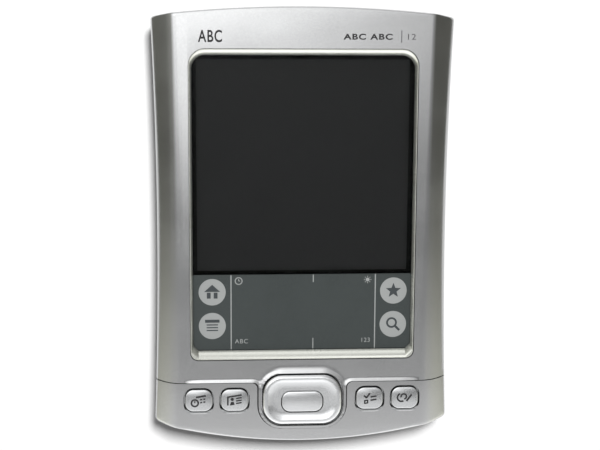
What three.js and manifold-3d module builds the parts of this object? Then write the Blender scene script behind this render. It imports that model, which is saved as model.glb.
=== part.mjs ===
// Pocket organizer (personal digital assistant), lying on its back with the screen facing up.
// Millimetres. +Z points out of the screen, +Y to the top end, +X to the right of the face.
// The origin is under the middle of the back, on the surface that the back rests on.
import * as THREE from "three";
import { mergeVertices } from "three/addons/utils/BufferGeometryUtils.js";
import Module from "manifold-3d";

const wasm = await Module();
wasm.setup();

// ---------------------------------------------------------------- driving dimensions

// Overall form. The sides are waisted and both ends are arched.
const LENGTH = 114.8;
const END_WIDTH = 78.2;
const WAIST_WIDTH = 75.9;
const THICKNESS = 15;
const TOP_ARCH = 2.3; // how far the top end bows out between its corners
const BOTTOM_ARCH = 5.1;
const CORNER = 0.8; // length of the rounding at each plan corner
const PARTING = 7; // height of the joint between the two shells
const EDGE_HEIGHT = 10.4; // height of the widest line of the sides
const RIM = 0.4; // the rim round the navigation pad stands this much above the face
const CHIN_DROP = 0.3; // the chin lies this much under the face
const EDGE_ROLL = 0.5; // roll-over where the face meets the two ends
const FLANK = 5.6; // plan width of the sloping flank at the ends
const FLANK_WAIST = 4.6; // the same at the waist
const FLANK_BULGE = 0.55; // how far the flank bows out of a straight slope
const END_DRAFT = 0.167; // the end walls lean in by this much for each millimetre down
const SIDE_DRAFT = 0.07;
const BACK_ROLL = 2.4; // roll-over at the edge of the back
const SKIN = 1.5; // wall of the front shell
const BACK_WALL = 1.3; // wall of the back cover
const SEAM = 0.3; // gap between two pieces of casing
const CLEAR = 0.3; // gap round a moving piece
const STACK = 0.05; // gap between two pieces that lie on each other
const NEST = 0.15; // gap round a piece that sits in another

// Window and screen.
const WINDOW_WIDTH = 59.2;
const WINDOW_LENGTH = 81.65;
const WINDOW_FROM_TOP = 10.65;
const WINDOW_RADIUS = 4.3;
const WINDOW_FOOT_RADIUS = 2.2;
const BEVEL_SIDE = 0.85; // plan width of the bright bevel beside the glass
const BEVEL_HEAD = 1.75;
const BEVEL_FOOT = 2.35;
const GLASS_DEPTH = 2.1; // from the face down to the glass
const GLASS_THICK = 1.1;
const GLASS_MARGIN = 1.2; // glass hidden under the bevel
const TRIM_FLANGE = 0.25;
const GASKET_ROOM = 0.25; // between the glass and the flange
const DISPLAY = 55.2; // side of the square picture
const DISPLAY_MARGIN = 1.1; // black margin round the picture
const DISPLAY_THICK = 1.3;
const BACKLIGHT_THICK = 1.25;
const CRADLE_WALL = 0.4;
const FILM_THICK = 0.1;

// Chin and keys.
const SEAM_FROM_BOTTOM = 16.8; // from the bottom end up to the seam over the chin
const SEAM_LIFT = 1.1; // the seam climbs this much where it crosses the flank
const SEAM_FILLET = 1.5;
const KEY_ROW_FROM_BOTTOM = 11.6;
const KEY_WIDTH = 7.2;
const KEY_HEIGHT = 6.0;
const KEY_RADIUS = 2.2;
const KEY_X = 18; // middle of the inner key of each pair
const KEY_SPACING = 2.25; // between the two keys of a pair
const KEY_NAMES = ["calendar_button", "contacts_button", "tasks_button", "notepad_button"];
const KEY_COLLAR = 0.8; // the hidden collar stands out by this much
const KEY_TRAVEL = 0.4;
const KEY_STEM = 2;
const PAD_WIDTH = 21.2;
const PAD_HEIGHT = 13.9;
const PAD_RADIUS = 4.6;
const PAD_DISH = 0.5; // depth of the dish in the pad
const PAD_RIM = 0.75; // width of the casing's rim round the pad
const SELECT_WIDTH = 10.9;
const SELECT_HEIGHT = 5.6;
const SELECT_RADIUS = 2.2;
const SELECT_DROP = 0.6; // the button lies this much under the pad's middle
const KEY_BOARD_HEIGHT = 9; // top-side stack under the keys
const KEY_BOARD_THICK = 0.4;
const DOME_RADIUS = 2.1;
const DOME_HEIGHT = 0.35;
const MAT_THICK = 0.5;

// Insides, measured up from the surface that the back rests on.
const BOARD_HEIGHT = 6.9;
const BOARD_THICK = 1;
const SCREW_HEAD = 3.8;
const SCREW_HEAD_THICK = 1.1;
const SCREW_SHANK = 1.9;
const SCREW_LENGTH = 8;
const SCREW_SINK = 0.5;
const BOSS = 4.4;
const WEB_LENGTH = 4.8; // from a chin boss out to the flank
const WEB_THICK = 1.4;
const TOP_SCREW_X = 26.8;
const TOP_SCREW_FROM_TOP = 7.1;
const BOTTOM_SCREW_FROM_SIDE = 6.1; // from the side at its widest
const BOTTOM_SCREW_FROM_BOTTOM = 10.9;
const STYLUS = 4; // barrel diameter
const STYLUS_FROM_SIDE = 4.95; // axis to the side of the waist
const STYLUS_HEIGHT = 5.3;
const STYLUS_LENGTH = 94.6;
const STYLUS_CAP = 6.6;
const STYLUS_TIP = 6;
const STYLUS_PROUD = 0.8;
const SILO_BORE = 4.8;
const SILO_WALL = 0.35;
const CARD_WIDTH = 24;
const CARD_LENGTH = 32;
const CARD_THICK = 2.1;
const CARD_X = -0.5;
const CARD_HEIGHT = 3.95;
const CARD_SINK = 0.7; // the card's end lies this far inside the end wall
const CAGE_WALL = 0.2;
const JACK_X = -19.5;
const JACK_HEIGHT = 4;
const JACK_BORE = 3.6;
const JACK_WIDTH = 6.8;
const JACK_DEEP = 12;
const JACK_THICK = 5;
const IR_X = -33.2;
const IR_WIDTH = 4.8;
const IR_TALL = 2.6;
const IR_HEIGHT = 5;
const POWER_X = 18.5;
const POWER_WIDTH = 6.6;
const POWER_TALL = 2.4;
const POWER_HEIGHT = 4.7;
const POWER_PROUD = 0.6;
const POWER_TRAVEL = 0.5;
const CONNECTOR_WIDTH = 24;
const CONNECTOR_TALL = 3.2;
const CONNECTOR_DEEP = 8;
const CONNECTOR_HEIGHT = 3.5;
const CONTACTS = 12;
const BATTERY_WIDTH = 50;
const BATTERY_LENGTH = 36;
const BATTERY_THICK = 4.4;
const BATTERY_X = -2;
const SPEAKER = 13;
const SPEAKER_THICK = 2.8;
const SPEAKER_X = 21;
const SPEAKER_FROM_TOP = 27;
const GRILLE_HOLE = 1.3;
const RESET_X = -8;
const RESET_FROM_TOP = 47;
const RESET_HOLE = 1.8;
const RESET_TRAVEL = 0.25;
const LABEL_WIDTH = 40;
const LABEL_LENGTH = 20;
const LABEL_FROM_BOTTOM = 36;
const LABEL_THICK = 0.15;

// ---------------------------------------------------------------- derived heights and places

const topEnd = LENGTH / 2;
const bottomEnd = -LENGTH / 2;
const face = THICKNESS - RIM;
const chinFace = face - CHIN_DROP;
const faceUnder = face - SKIN;
const glassTop = face - GLASS_DEPTH;
const glassUnder = glassTop - GLASS_THICK;
const displayTop = glassUnder - 0.15;
const displayUnder = displayTop - DISPLAY_THICK;
const backlightTop = displayUnder - STACK;
const backlightUnder = backlightTop - BACKLIGHT_THICK;
const cradleUnder = backlightUnder - STACK - CRADLE_WALL;
const windowTop = topEnd - WINDOW_FROM_TOP;
const windowFoot = windowTop - WINDOW_LENGTH;
const windowY = (windowTop + windowFoot) / 2;
const glassHead = windowTop - BEVEL_HEAD;
const glassFoot = windowFoot + BEVEL_FOOT;
const glassHalf = WINDOW_WIDTH / 2 - BEVEL_SIDE;
const displayY = glassHead - DISPLAY_MARGIN - DISPLAY / 2;
const displayHalf = DISPLAY / 2 + DISPLAY_MARGIN * 0.8;
const seamY = bottomEnd + SEAM_FROM_BOTTOM;
const keyRowY = bottomEnd + KEY_ROW_FROM_BOTTOM;
const keyXs = [-KEY_X - KEY_WIDTH - KEY_SPACING, -KEY_X, KEY_X, KEY_X + KEY_WIDTH + KEY_SPACING];
const bottomScrewX = END_WIDTH / 2 - BOTTOM_SCREW_FROM_SIDE;
const keyCollarTop = chinFace - SKIN - 0.2;
const keyBoardTop = KEY_BOARD_HEIGHT + KEY_BOARD_THICK;
const matUnder = keyBoardTop + STACK * 2 + DOME_HEIGHT + 0.15;
const matTop = matUnder + MAT_THICK;
const stemEnd = matTop + KEY_TRAVEL + 0.1;
const boardTop = BOARD_HEIGHT + BOARD_THICK;
const stylusX = WAIST_WIDTH / 2 - STYLUS_FROM_SIDE;
const siloRadius = SILO_BORE / 2 + SILO_WALL;

// ---------------------------------------------------------------- solids

const FINE = 4; // steps in a quarter circle of a visible corner
const COARSE = 2; // the same inside the casing
const SIDE_STEPS = 5; // straight pieces in each side, end and corner of the casing
const END_STEPS = 8;
const CORNER_STEPS = 2;

function solid(geometry) {
  const bare = geometry.index ? geometry.toNonIndexed() : geometry.clone();
  bare.deleteAttribute("normal");
  bare.deleteAttribute("uv");
  const merged = mergeVertices(bare, 1e-4);
  return new wasm.Manifold(
    new wasm.Mesh({
      numProp: 3,
      vertProperties: new Float32Array(merged.attributes.position.array),
      triVerts: new Uint32Array(merged.index.array),
    }),
  );
}

function geometryOf(made) {
  const mesh = made.getMesh();
  return new THREE.BufferGeometry()
    .setAttribute("position", new THREE.BufferAttribute(mesh.vertProperties, 3))
    .setIndex(new THREE.BufferAttribute(mesh.triVerts, 1));
}

const join = (...parts) => parts.reduce((a, b) => a.add(b));
const cut = (part, ...tools) => tools.reduce((a, b) => a.subtract(b), part);

function box(x0, x1, y0, y1, z0, z1) {
  const block = new THREE.BoxGeometry(x1 - x0, y1 - y0, z1 - z0);
  return solid(block.translate((x0 + x1) / 2, (y0 + y1) / 2, (z0 + z1) / 2));
}

// A box given by its middle in x and y.
function block(x, y, width, length, z0, z1) {
  return box(x - width / 2, x + width / 2, y - length / 2, y + length / 2, z0, z1);
}

function slab(shape, z0, z1, steps = COARSE) {
  const settings = { depth: z1 - z0, bevelEnabled: false, curveSegments: steps };
  return solid(new THREE.ExtrudeGeometry(shape, settings).translate(0, 0, z0));
}

function post(x, y, z0, z1, radius, sides = 16, topRadius = radius) {
  const rod = new THREE.CylinderGeometry(topRadius, radius, z1 - z0, sides);
  return solid(rod.rotateX(Math.PI / 2).translate(x, y, (z0 + z1) / 2));
}

// A rod along y.
function rod(x, z, y0, y1, radius, sides = 16, farRadius = radius) {
  const made = new THREE.CylinderGeometry(farRadius, radius, y1 - y0, sides);
  return solid(made.translate(x, (y0 + y1) / 2, z));
}

// A rectangle with round corners, head and foot corners with their own radius.
function roundRect(x, y, width, length, radius, footRadius = radius) {
  const [left, right] = [x - width / 2, x + width / 2];
  const [foot, head] = [y - length / 2, y + length / 2];
  const shape = new THREE.Shape();
  shape.moveTo(right, foot + footRadius);
  shape.absarc(right - radius, head - radius, radius, 0, Math.PI / 2);
  shape.absarc(left + radius, head - radius, radius, Math.PI / 2, Math.PI);
  shape.absarc(left + footRadius, foot + footRadius, footRadius, Math.PI, 1.5 * Math.PI);
  shape.absarc(right - footRadius, foot + footRadius, footRadius, 1.5 * Math.PI, 2 * Math.PI);
  return shape;
}

const roundSlab = (x, y, width, length, radius, z0, z1, steps = COARSE) =>
  slab(roundRect(x, y, width, length, radius), z0, z1, steps);

// A slab in the plane of x and z, from y0 to y1, for the openings in the end walls.
function endSlab(x, z, width, tall, radius, y0, y1, steps = COARSE) {
  const settings = { depth: y1 - y0, bevelEnabled: false, curveSegments: steps };
  const made = new THREE.ExtrudeGeometry(roundRect(x, z, width, tall, radius), settings);
  return solid(made.rotateX(Math.PI / 2).translate(0, y1, 0));
}

// ---------------------------------------------------------------- the casing's outer form

// The plan outline at one height: half widths at the ends and the waist, and the two ends' places.
// Each side is a parabola and so is each end; the corners are rounded.
function planOutline({ end, waist, top, bottom }) {
  const arch = (depth, x) => depth * (x / (END_WIDTH / 2)) ** 2;
  const cornerTop = top - arch(TOP_ARCH, end);
  const cornerBottom = bottom + arch(BOTTOM_ARCH, end);
  const middle = (cornerTop + cornerBottom) / 2;
  const reach = (cornerTop - cornerBottom) / 2;
  const sideX = (y) => waist + (end - waist) * ((y - middle) / reach) ** 2;
  const topY = (x) => top - arch(TOP_ARCH, x);
  const bottomY = (x) => bottom + arch(BOTTOM_ARCH, x);
  const at = (x, y) => new THREE.Vector2(x, y);
  const [low, high] = [cornerBottom + CORNER, cornerTop - CORNER];
  const inner = end - CORNER;
  const curve = (from, control, to) => new THREE.QuadraticBezierCurve(from, control, to);
  // The control point that makes a quadratic curve pass through the middle of its parabola.
  const through = (from, mid, to) => at(2 * mid.x - (from.x + to.x) / 2, 2 * mid.y - (from.y + to.y) / 2);
  const side = (sign, y0, y1) => {
    const [a, m, b] = [y0, (y0 + y1) / 2, y1].map((y) => at(sign * sideX(y), y));
    return curve(a, through(a, m, b), b);
  };
  const cap = (yOf, x0, x1) => {
    const [a, m, b] = [x0, 0, x1].map((x) => at(x, yOf(x)));
    return curve(a, through(a, m, b), b);
  };
  const corner = (sx, from, cornerY, to) => curve(from, at(sx * end, cornerY), to);
  const right = side(1, low, high);
  const head = cap(topY, inner, -inner);
  const left = side(-1, high, low);
  const foot = cap(bottomY, -inner, inner);
  const loop = [
    [right, SIDE_STEPS],
    [corner(1, right.v2, cornerTop, head.v0), CORNER_STEPS],
    [head, END_STEPS],
    [corner(-1, head.v2, cornerTop, left.v0), CORNER_STEPS],
    [left, SIDE_STEPS],
    [corner(-1, left.v2, cornerBottom, foot.v0), CORNER_STEPS],
    [foot, END_STEPS],
    [corner(1, foot.v2, cornerBottom, right.v0), CORNER_STEPS],
  ];
  return loop.flatMap(([c, steps]) => c.getPoints(steps).slice(0, -1));
}

// A solid through closed outlines that all have the same number of points, lowest first.
function loft(levels) {
  const rings = levels.map(({ z, points }) => points.map((p) => new THREE.Vector3(p.x, p.y, z)));
  const count = rings[0].length;
  const corners = [];
  const face3 = (a, b, c) => corners.push(a, b, c);
  for (let k = 0; k + 1 < rings.length; k++) {
    for (let i = 0; i < count; i++) {
      const j = (i + 1) % count;
      face3(rings[k][i], rings[k][j], rings[k + 1][j]);
      face3(rings[k][i], rings[k + 1][j], rings[k + 1][i]);
    }
  }
  for (const [ring, up] of [[rings[0], false], [rings.at(-1), true]]) {
    const flat = ring.map((p) => new THREE.Vector2(p.x, p.y));
    for (const [a, b, c] of THREE.ShapeUtils.triangulateShape(flat, [])) {
      face3(ring[a], ring[up ? b : c], ring[up ? c : b]);
    }
  }
  return solid(new THREE.BufferGeometry().setFromPoints(corners));
}

// Half widths and end places of the casing at height z, taken in by inset on every side.
const draftAt = (z) => Math.max(0, face - EDGE_ROLL - z) * END_DRAFT;
function casingAt(z, { side = 0, inset = 0, roll = 0 } = {}) {
  const lean = Math.abs(z - EDGE_HEIGHT) * SIDE_DRAFT;
  const in_ = (z < EDGE_HEIGHT ? lean : 0) + side + inset;
  return {
    z,
    points: planOutline({
      end: END_WIDTH / 2 - in_,
      waist: WAIST_WIDTH / 2 - in_,
      top: topEnd - draftAt(z) - roll - inset,
      bottom: bottomEnd + draftAt(z) + roll + inset,
    }),
  };
}

// A height on the flank: share 0 at the widest line, 1 at the crease with the face.
function flankAt(share, inset = 0, top = face) {
  const z = EDGE_HEIGHT + (top - EDGE_HEIGHT) * share;
  const bow = FLANK_BULGE * 4 * share * (1 - share);
  return {
    z: z - inset * 0.75,
    points: planOutline({
      end: END_WIDTH / 2 - FLANK * share + bow - inset * 0.9,
      waist: WAIST_WIDTH / 2 - FLANK_WAIST * share + bow - inset * 0.9,
      top: topEnd - draftAt(z) - (share === 1 ? EDGE_ROLL : 0) - inset,
      bottom: bottomEnd + draftAt(z) + (share === 1 ? EDGE_ROLL : 0) + inset,
    }),
  };
}

const rollShare = (face - EDGE_ROLL - EDGE_HEIGHT) / (face - EDGE_HEIGHT);
const frontForm = loft([
  casingAt(PARTING),
  casingAt(EDGE_HEIGHT),
  flankAt(0.3),
  flankAt(0.6),
  flankAt(rollShare),
  flankAt(1),
]);
const frontHollow = loft([
  casingAt(PARTING - 1, { inset: SKIN }),
  casingAt(EDGE_HEIGHT - 1, { inset: SKIN }),
  flankAt(0.5, SKIN),
  { ...flankAt(0.97, SKIN), z: faceUnder },
]);
const backForm = loft([
  casingAt(0, { side: BACK_ROLL, roll: BACK_ROLL * 0.8 }),
  casingAt(BACK_ROLL * 0.3, { side: BACK_ROLL * 0.4, roll: BACK_ROLL * 0.35 }),
  casingAt(BACK_ROLL, { side: 0.1, roll: 0.1 }),
  casingAt(PARTING - SEAM),
]);
const backHollow = loft([
  casingAt(BACK_WALL, { side: BACK_ROLL * 0.55, roll: BACK_ROLL * 0.4, inset: BACK_WALL }),
  casingAt(BACK_ROLL + 0.4, { inset: BACK_WALL }),
  casingAt(PARTING + 1, { inset: BACK_WALL }),
]);

// Where the end wall's outer face lies at one place.
const endWallY = (x, z) => topEnd - draftAt(z) - TOP_ARCH * (x / (END_WIDTH / 2)) ** 2;
const footWallY = (x, z) => bottomEnd + draftAt(z) + BOTTOM_ARCH * (x / (END_WIDTH / 2)) ** 2;

// ---------------------------------------------------------------- front shell and chin

const padHole = { width: PAD_WIDTH + 2 * CLEAR, height: PAD_HEIGHT + 2 * CLEAR, radius: PAD_RADIUS + CLEAR };
const tongue = {
  width: padHole.width + 2 * PAD_RIM,
  height: padHole.height + 2 * PAD_RIM,
  radius: padHole.radius + PAD_RIM,
};

// The chin's plan: everything under the seam, less the tongue of casing that holds the pad.
function chinPlan(gap) {
  const half = tongue.width / 2 + gap;
  const foot = keyRowY - tongue.height / 2 - gap;
  const radius = tongue.radius + gap;
  const y = seamY - gap;
  const flank = END_WIDTH / 2 - FLANK;
  const out = END_WIDTH / 2 + 2;
  const shape = new THREE.Shape();
  shape.moveTo(-out, bottomEnd - 5);
  shape.lineTo(out, bottomEnd - 5);
  shape.lineTo(out, y + SEAM_LIFT);
  shape.quadraticCurveTo(flank + 1, y, flank, y);
  shape.lineTo(half + SEAM_FILLET, y);
  shape.absarc(half + SEAM_FILLET, y - SEAM_FILLET, SEAM_FILLET, Math.PI / 2, Math.PI, false);
  shape.absarc(half - radius, foot + radius, radius, 0, -Math.PI / 2, true);
  shape.absarc(radius - half, foot + radius, radius, -Math.PI / 2, -Math.PI, true);
  shape.absarc(-half - SEAM_FILLET, y - SEAM_FILLET, SEAM_FILLET, 0, Math.PI / 2, false);
  shape.lineTo(-flank, y);
  shape.quadraticCurveTo(-flank - 1, y, -out, y + SEAM_LIFT);
  return shape;
}

const screwPlaces = [
  ["back_screw_top_left", -TOP_SCREW_X, topEnd - TOP_SCREW_FROM_TOP],
  ["back_screw_top_right", TOP_SCREW_X, topEnd - TOP_SCREW_FROM_TOP],
  ["back_screw_bottom_left", -bottomScrewX, bottomEnd + BOTTOM_SCREW_FROM_BOTTOM],
  ["back_screw_bottom_right", bottomScrewX, bottomEnd + BOTTOM_SCREW_FROM_BOTTOM],
];
const bossFoot = SCREW_SINK + SCREW_HEAD_THICK + 1.5 + SEAM;
const shankEnd = SCREW_SINK + SCREW_HEAD_THICK + SCREW_LENGTH;

const screwBore = (x, y) => post(x, y, bossFoot - 1, shankEnd + 0.6, SCREW_SHANK / 2 + 0.1, 8);
const frontBoss = (x, y, top) => cut(post(x, y, bossFoot, top, BOSS / 2, 12), screwBore(x, y));

function frontHousing() {
  const shell = cut(frontForm, frontHollow, slab(chinPlan(0), PARTING - 2, THICKNESS + 1, FINE));
  const rim = roundSlab(0, keyRowY, tongue.width, tongue.height, tongue.radius, faceUnder, THICKNESS, FINE);
  const bosses = screwPlaces.slice(0, 2).map(([, x, y]) => frontBoss(x, y, face - 0.6));
  const window_ = slab(
    roundRect(0, windowY, WINDOW_WIDTH, WINDOW_LENGTH, WINDOW_RADIUS, WINDOW_FOOT_RADIUS),
    faceUnder - 2, THICKNESS + 1, FINE);
  const pad = roundSlab(0, keyRowY, padHole.width, padHole.height, padHole.radius,
    faceUnder - 2, THICKNESS + 1, FINE);
  const silo = rod(stylusX, STYLUS_HEIGHT, topEnd - 15, topEnd + 5, siloRadius + 0.15, 16);
  return cut(join(shell, rim, ...bosses), window_, pad, silo);
}

// A boss under the chin, tied to the flank by a web because no face lies over it.
function chinBoss(x, y) {
  const top = EDGE_HEIGHT + 0.8;
  const [from, to] = [Math.min(x, x + Math.sign(x) * WEB_LENGTH), Math.max(x, x + Math.sign(x) * WEB_LENGTH)];
  const web = box(from, to, y - WEB_THICK / 2, y + WEB_THICK / 2, shankEnd - 1, top);
  return cut(join(frontBoss(x, y, top), web), screwBore(x, y));
}

function chinPanel() {
  const plan = slab(chinPlan(SEAM), PARTING - 2, chinFace, FINE);
  const bosses = screwPlaces.slice(2).map(([, x, y]) => chinBoss(x, y));
  const shell = cut(frontForm.intersect(plan), frontHollow.translate([0, 0, -CHIN_DROP]));
  const size = [KEY_WIDTH + 2 * CLEAR, KEY_HEIGHT + 2 * CLEAR, KEY_RADIUS + CLEAR];
  const holes = keyXs.map((x) => roundSlab(x, keyRowY, ...size, faceUnder - 2, THICKNESS, FINE));
  return cut(join(shell, ...bosses), ...holes);
}

// ---------------------------------------------------------------- back cover

function grilleHoles() {
  const y = topEnd - SPEAKER_FROM_TOP;
  const pitch = GRILLE_HOLE * 1.9;
  const ring = Array.from({ length: 6 }, (_, i) => {
    const angle = (i * Math.PI) / 3;
    return [SPEAKER_X + pitch * Math.cos(angle), y + pitch * Math.sin(angle)];
  });
  return [[SPEAKER_X, y], ...ring].map((at) => post(...at, -1, BACK_WALL + 1, GRILLE_HOLE / 2, 6));
}

function backCover() {
  const shell = cut(backForm, backHollow);
  const seats = screwPlaces.map(([, x, y]) => post(x, y, BACK_WALL / 2, bossFoot - SEAM, BOSS / 2 + 0.6, 12));
  const resetY = topEnd - RESET_FROM_TOP;
  const tube = post(RESET_X, resetY, BACK_WALL / 2, BACK_WALL + 2.2, RESET_HOLE / 2 + 0.8, 12);
  const heads = screwPlaces.map(([, x, y]) =>
    post(x, y, -1, SCREW_SINK + SCREW_HEAD_THICK + 0.05, SCREW_HEAD / 2 + 0.3, 12));
  const shanks = screwPlaces.map(([, x, y]) => post(x, y, -1, PARTING, SCREW_SHANK / 2 + 0.15, 8));
  const [out, in_] = [topEnd + 5, topEnd - 8];
  const openings = [
    endSlab(CARD_X, CARD_HEIGHT + CARD_THICK / 2, CARD_WIDTH + 2 * CLEAR, CARD_THICK + 2 * CLEAR, 0.3,
      in_, out),
    rod(JACK_X, JACK_HEIGHT, in_, out, JACK_BORE / 2 + 0.65, 16),
    endSlab(IR_X, IR_HEIGHT, IR_WIDTH, IR_TALL, 0.5, in_, out),
    endSlab(POWER_X, POWER_HEIGHT, POWER_WIDTH + 2 * CLEAR, POWER_TALL + 2 * CLEAR, 1.2, in_, out),
    rod(stylusX, STYLUS_HEIGHT, in_ - 5, out, siloRadius + 0.15, 16),
    endSlab(0, CONNECTOR_HEIGHT + CONNECTOR_TALL / 2, CONNECTOR_WIDTH + 0.4, CONNECTOR_TALL - 0.2, 0.7,
      bottomEnd - 5, bottomEnd + 8),
  ];
  const labelBed = block(0, bottomEnd + LABEL_FROM_BOTTOM, LABEL_WIDTH + 2 * CLEAR, LABEL_LENGTH + 2 * CLEAR,
    -1, LABEL_THICK + 0.1);
  const reset = post(RESET_X, resetY, -1, BOARD_HEIGHT, RESET_HOLE / 2, 12);
  const holes = [...heads, ...shanks, ...openings, ...grilleHoles(), labelBed, reset];
  return cut(join(shell, ...seats, tube), ...holes);
}

function screw(x, y) {
  const headTop = SCREW_SINK + SCREW_HEAD_THICK;
  const head = post(x, y, SCREW_SINK, headTop, SCREW_HEAD / 2, 12);
  const shank = post(x, y, headTop - 0.1, shankEnd, SCREW_SHANK / 2, 8);
  const socket = post(x, y, SCREW_SINK - 1, SCREW_SINK + 0.6, 0.85, 6);
  return cut(join(head, shank), socket);
}

// ---------------------------------------------------------------- window, glass and display

// A frame between two rounded rectangles, both given as [half width, head, foot, radius, foot radius].
const plan = ([half, head, foot, radius, footRadius = radius]) =>
  roundRect(0, (head + foot) / 2, 2 * half, head - foot, radius, footRadius);
const planPoints = (size) => plan(size).extractPoints(FINE).shape;

function windowTrim() {
  const under = glassTop + GASKET_ROOM;
  const outer = [WINDOW_WIDTH / 2 - NEST, windowTop - NEST, windowFoot + NEST, WINDOW_RADIUS - NEST,
    WINDOW_FOOT_RADIUS - NEST];
  const flange = [WINDOW_WIDTH / 2 + 1, windowTop + 0.5, windowFoot - 0.6, 2];
  const lip = 0.2; // flat land at the top of the bevel
  const mouth = [outer[0] - lip, outer[1] - lip, outer[2] + lip, outer[3] - lip, outer[4] - lip];
  const sight = [glassHalf, glassHead, glassFoot, WINDOW_RADIUS - BEVEL_SIDE,
    WINDOW_FOOT_RADIUS - BEVEL_SIDE];
  const level = (z, size) => ({ z, points: planPoints(size) });
  const crest = face - NEST;
  const body = join(slab(plan(outer), under, crest, FINE), slab(plan(flange), under, under + TRIM_FLANGE));
  const bevel = [level(under, sight), level(crest + 0.001, mouth)];
  return cut(body, loft([level(under - 1, sight), ...bevel, level(face + 1, mouth)]));
}

function glassGasket() {
  const [z0, z1] = [glassTop + STACK, glassTop + GASKET_ROOM - STACK];
  const outer = roundRect(0, windowY, 2 * glassHalf + 2 * GLASS_MARGIN - 0.2, WINDOW_LENGTH - 1, 1.5);
  outer.holes.push(plan([glassHalf + 0.3, glassHead + 0.3, glassFoot - 0.3, WINDOW_RADIUS - BEVEL_SIDE + 0.3,
    WINDOW_FOOT_RADIUS - BEVEL_SIDE + 0.3]));
  return slab(outer, z0, z1);
}

function touchPanel() {
  const length = glassHead - glassFoot + 2 * GLASS_MARGIN;
  const width = 2 * (glassHalf + GLASS_MARGIN);
  return roundSlab(0, (glassHead + glassFoot) / 2, width, length, 1, glassUnder, glassTop);
}

const inputTop = displayY - DISPLAY / 2 - DISPLAY_MARGIN * 0.85;

function inputFilm() {
  const foot = glassFoot + 0.1;
  const half = glassHalf - 0.05;
  return slab(plan([half, inputTop, foot, 0.2, WINDOW_FOOT_RADIUS - BEVEL_SIDE]),
    glassTop + STACK / 2, glassTop + STACK / 2 + FILM_THICK, 3);
}

const displayPanel = () => block(0, displayY, 2 * displayHalf, 2 * displayHalf, displayUnder, displayTop);
const backlight = () => block(0, displayY, 2 * displayHalf, 2 * displayHalf, backlightUnder, backlightTop);
const cradleHalf = displayHalf + NEST + CRADLE_WALL;
const flexX = 0;
const flexWidth = 14;

function displayCradle() {
  const inner = displayHalf + NEST;
  const foot = displayY - cradleHalf;
  return cut(
    block(0, displayY, 2 * cradleHalf, 2 * cradleHalf, cradleUnder, displayTop + 0.05),
    block(0, displayY, 2 * inner, 2 * inner, backlightUnder - STACK, displayTop + 1),
    box(flexX - flexWidth / 2 - 0.5, flexX + flexWidth / 2 + 0.5, foot - 1, foot + 1,
      backlightUnder, displayTop + 1),
  );
}

// ---------------------------------------------------------------- chassis and boards

const chassisUnder = boardTop + 0.2;
const chassisHalf = WINDOW_WIDTH / 2 + 1.4;
const chassisHead = windowTop + 0.9;
const chassisFoot = windowFoot - 0.2;
const keyDeckHalf = 30;
const tailX = 22;
const tailWidth = 7;
const tailY = chassisFoot - 0.6;

// The plan of the boards and sheets under the keys, with a tab under the navigation pad.
function keyDeck(inset, z0, z1, head) {
  const half = keyDeckHalf - inset;
  const tabHalf = PAD_WIDTH / 2 + 2 - inset;
  return join(
    box(-half, half, keyRowY - 5.4 + inset, head, z0, z1),
    box(-tabHalf, tabHalf, keyRowY - 8.1 + inset, keyRowY, z0, z1),
  );
}

function chassis() {
  const top = glassUnder - STACK;
  const frame = box(-chassisHalf, chassisHalf, chassisFoot, chassisHead, chassisUnder, top);
  const bay = cradleHalf + 0.2;
  const cradleBay = block(0, displayY, 2 * bay, 2 * bay, chassisUnder - 1, top + 1);
  const pocketTop = displayY - cradleHalf - 1.6;
  const wall = 1.4;
  const inside = chassisHalf - wall;
  const pocket = box(-inside, inside, chassisFoot + wall, pocketTop, chassisUnder - 1, top - 0.9);
  const flexSlot = box(flexX - flexWidth / 2 - 0.6, flexX + flexWidth / 2 + 0.6, pocketTop - 1,
    displayY - cradleHalf + 1, chassisUnder - 1, displayUnder + 0.6);
  const deck = keyDeck(0, chassisUnder, KEY_BOARD_HEIGHT - STACK, chassisFoot + 0.5);
  const tailSlot = box(tailX - tailWidth / 2 - 0.4, tailX + tailWidth / 2 + 0.4, tailY - 0.5, tailY + 0.5,
    chassisUnder - 1, top + 1);
  return cut(join(frame, deck), cradleBay, pocket, flexSlot, tailSlot);
}

const keyBoardHead = tailY - 1;
const keyBoard = () => keyDeck(0.5, KEY_BOARD_HEIGHT, keyBoardTop, keyBoardHead);

const padReach = { x: PAD_WIDTH / 2 - 1.2, y: PAD_HEIGHT / 2 - 1.6 };
const switchPlaces = [
  ...keyXs.map((x) => [x, keyRowY]),
  [0, keyRowY],
  [padReach.x, keyRowY],
  [-padReach.x, keyRowY],
  [0, keyRowY + padReach.y],
  [0, keyRowY - padReach.y],
];

function domeSheet() {
  const [z0, z1] = [keyBoardTop + STACK, keyBoardTop + 2 * STACK];
  const sheet = keyDeck(0.8, z0, z1, keyBoardHead - 0.4);
  const crown = z1 + DOME_HEIGHT;
  const domes = switchPlaces.map(([x, y]) => post(x, y, z0, crown, DOME_RADIUS, 8, DOME_RADIUS * 0.55));
  return join(sheet, ...domes);
}

function keyMat() {
  const sheet = keyDeck(0.6, matUnder, matTop, keyBoardHead - 0.2);
  const nubs = switchPlaces.map(([x, y]) => post(x, y, matUnder - 0.1, matUnder + 0.1, 0.8, 6));
  return join(sheet, ...nubs);
}

const boardHead = topEnd - 5.9;
const boardLeft = -WAIST_WIDTH / 2 + 3.4;
const boardRight = stylusX - siloRadius - 0.7;
const boardFoot = bottomEnd + 13.9;
const tongueHalf = CONNECTOR_WIDTH / 2 + 2;

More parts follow.
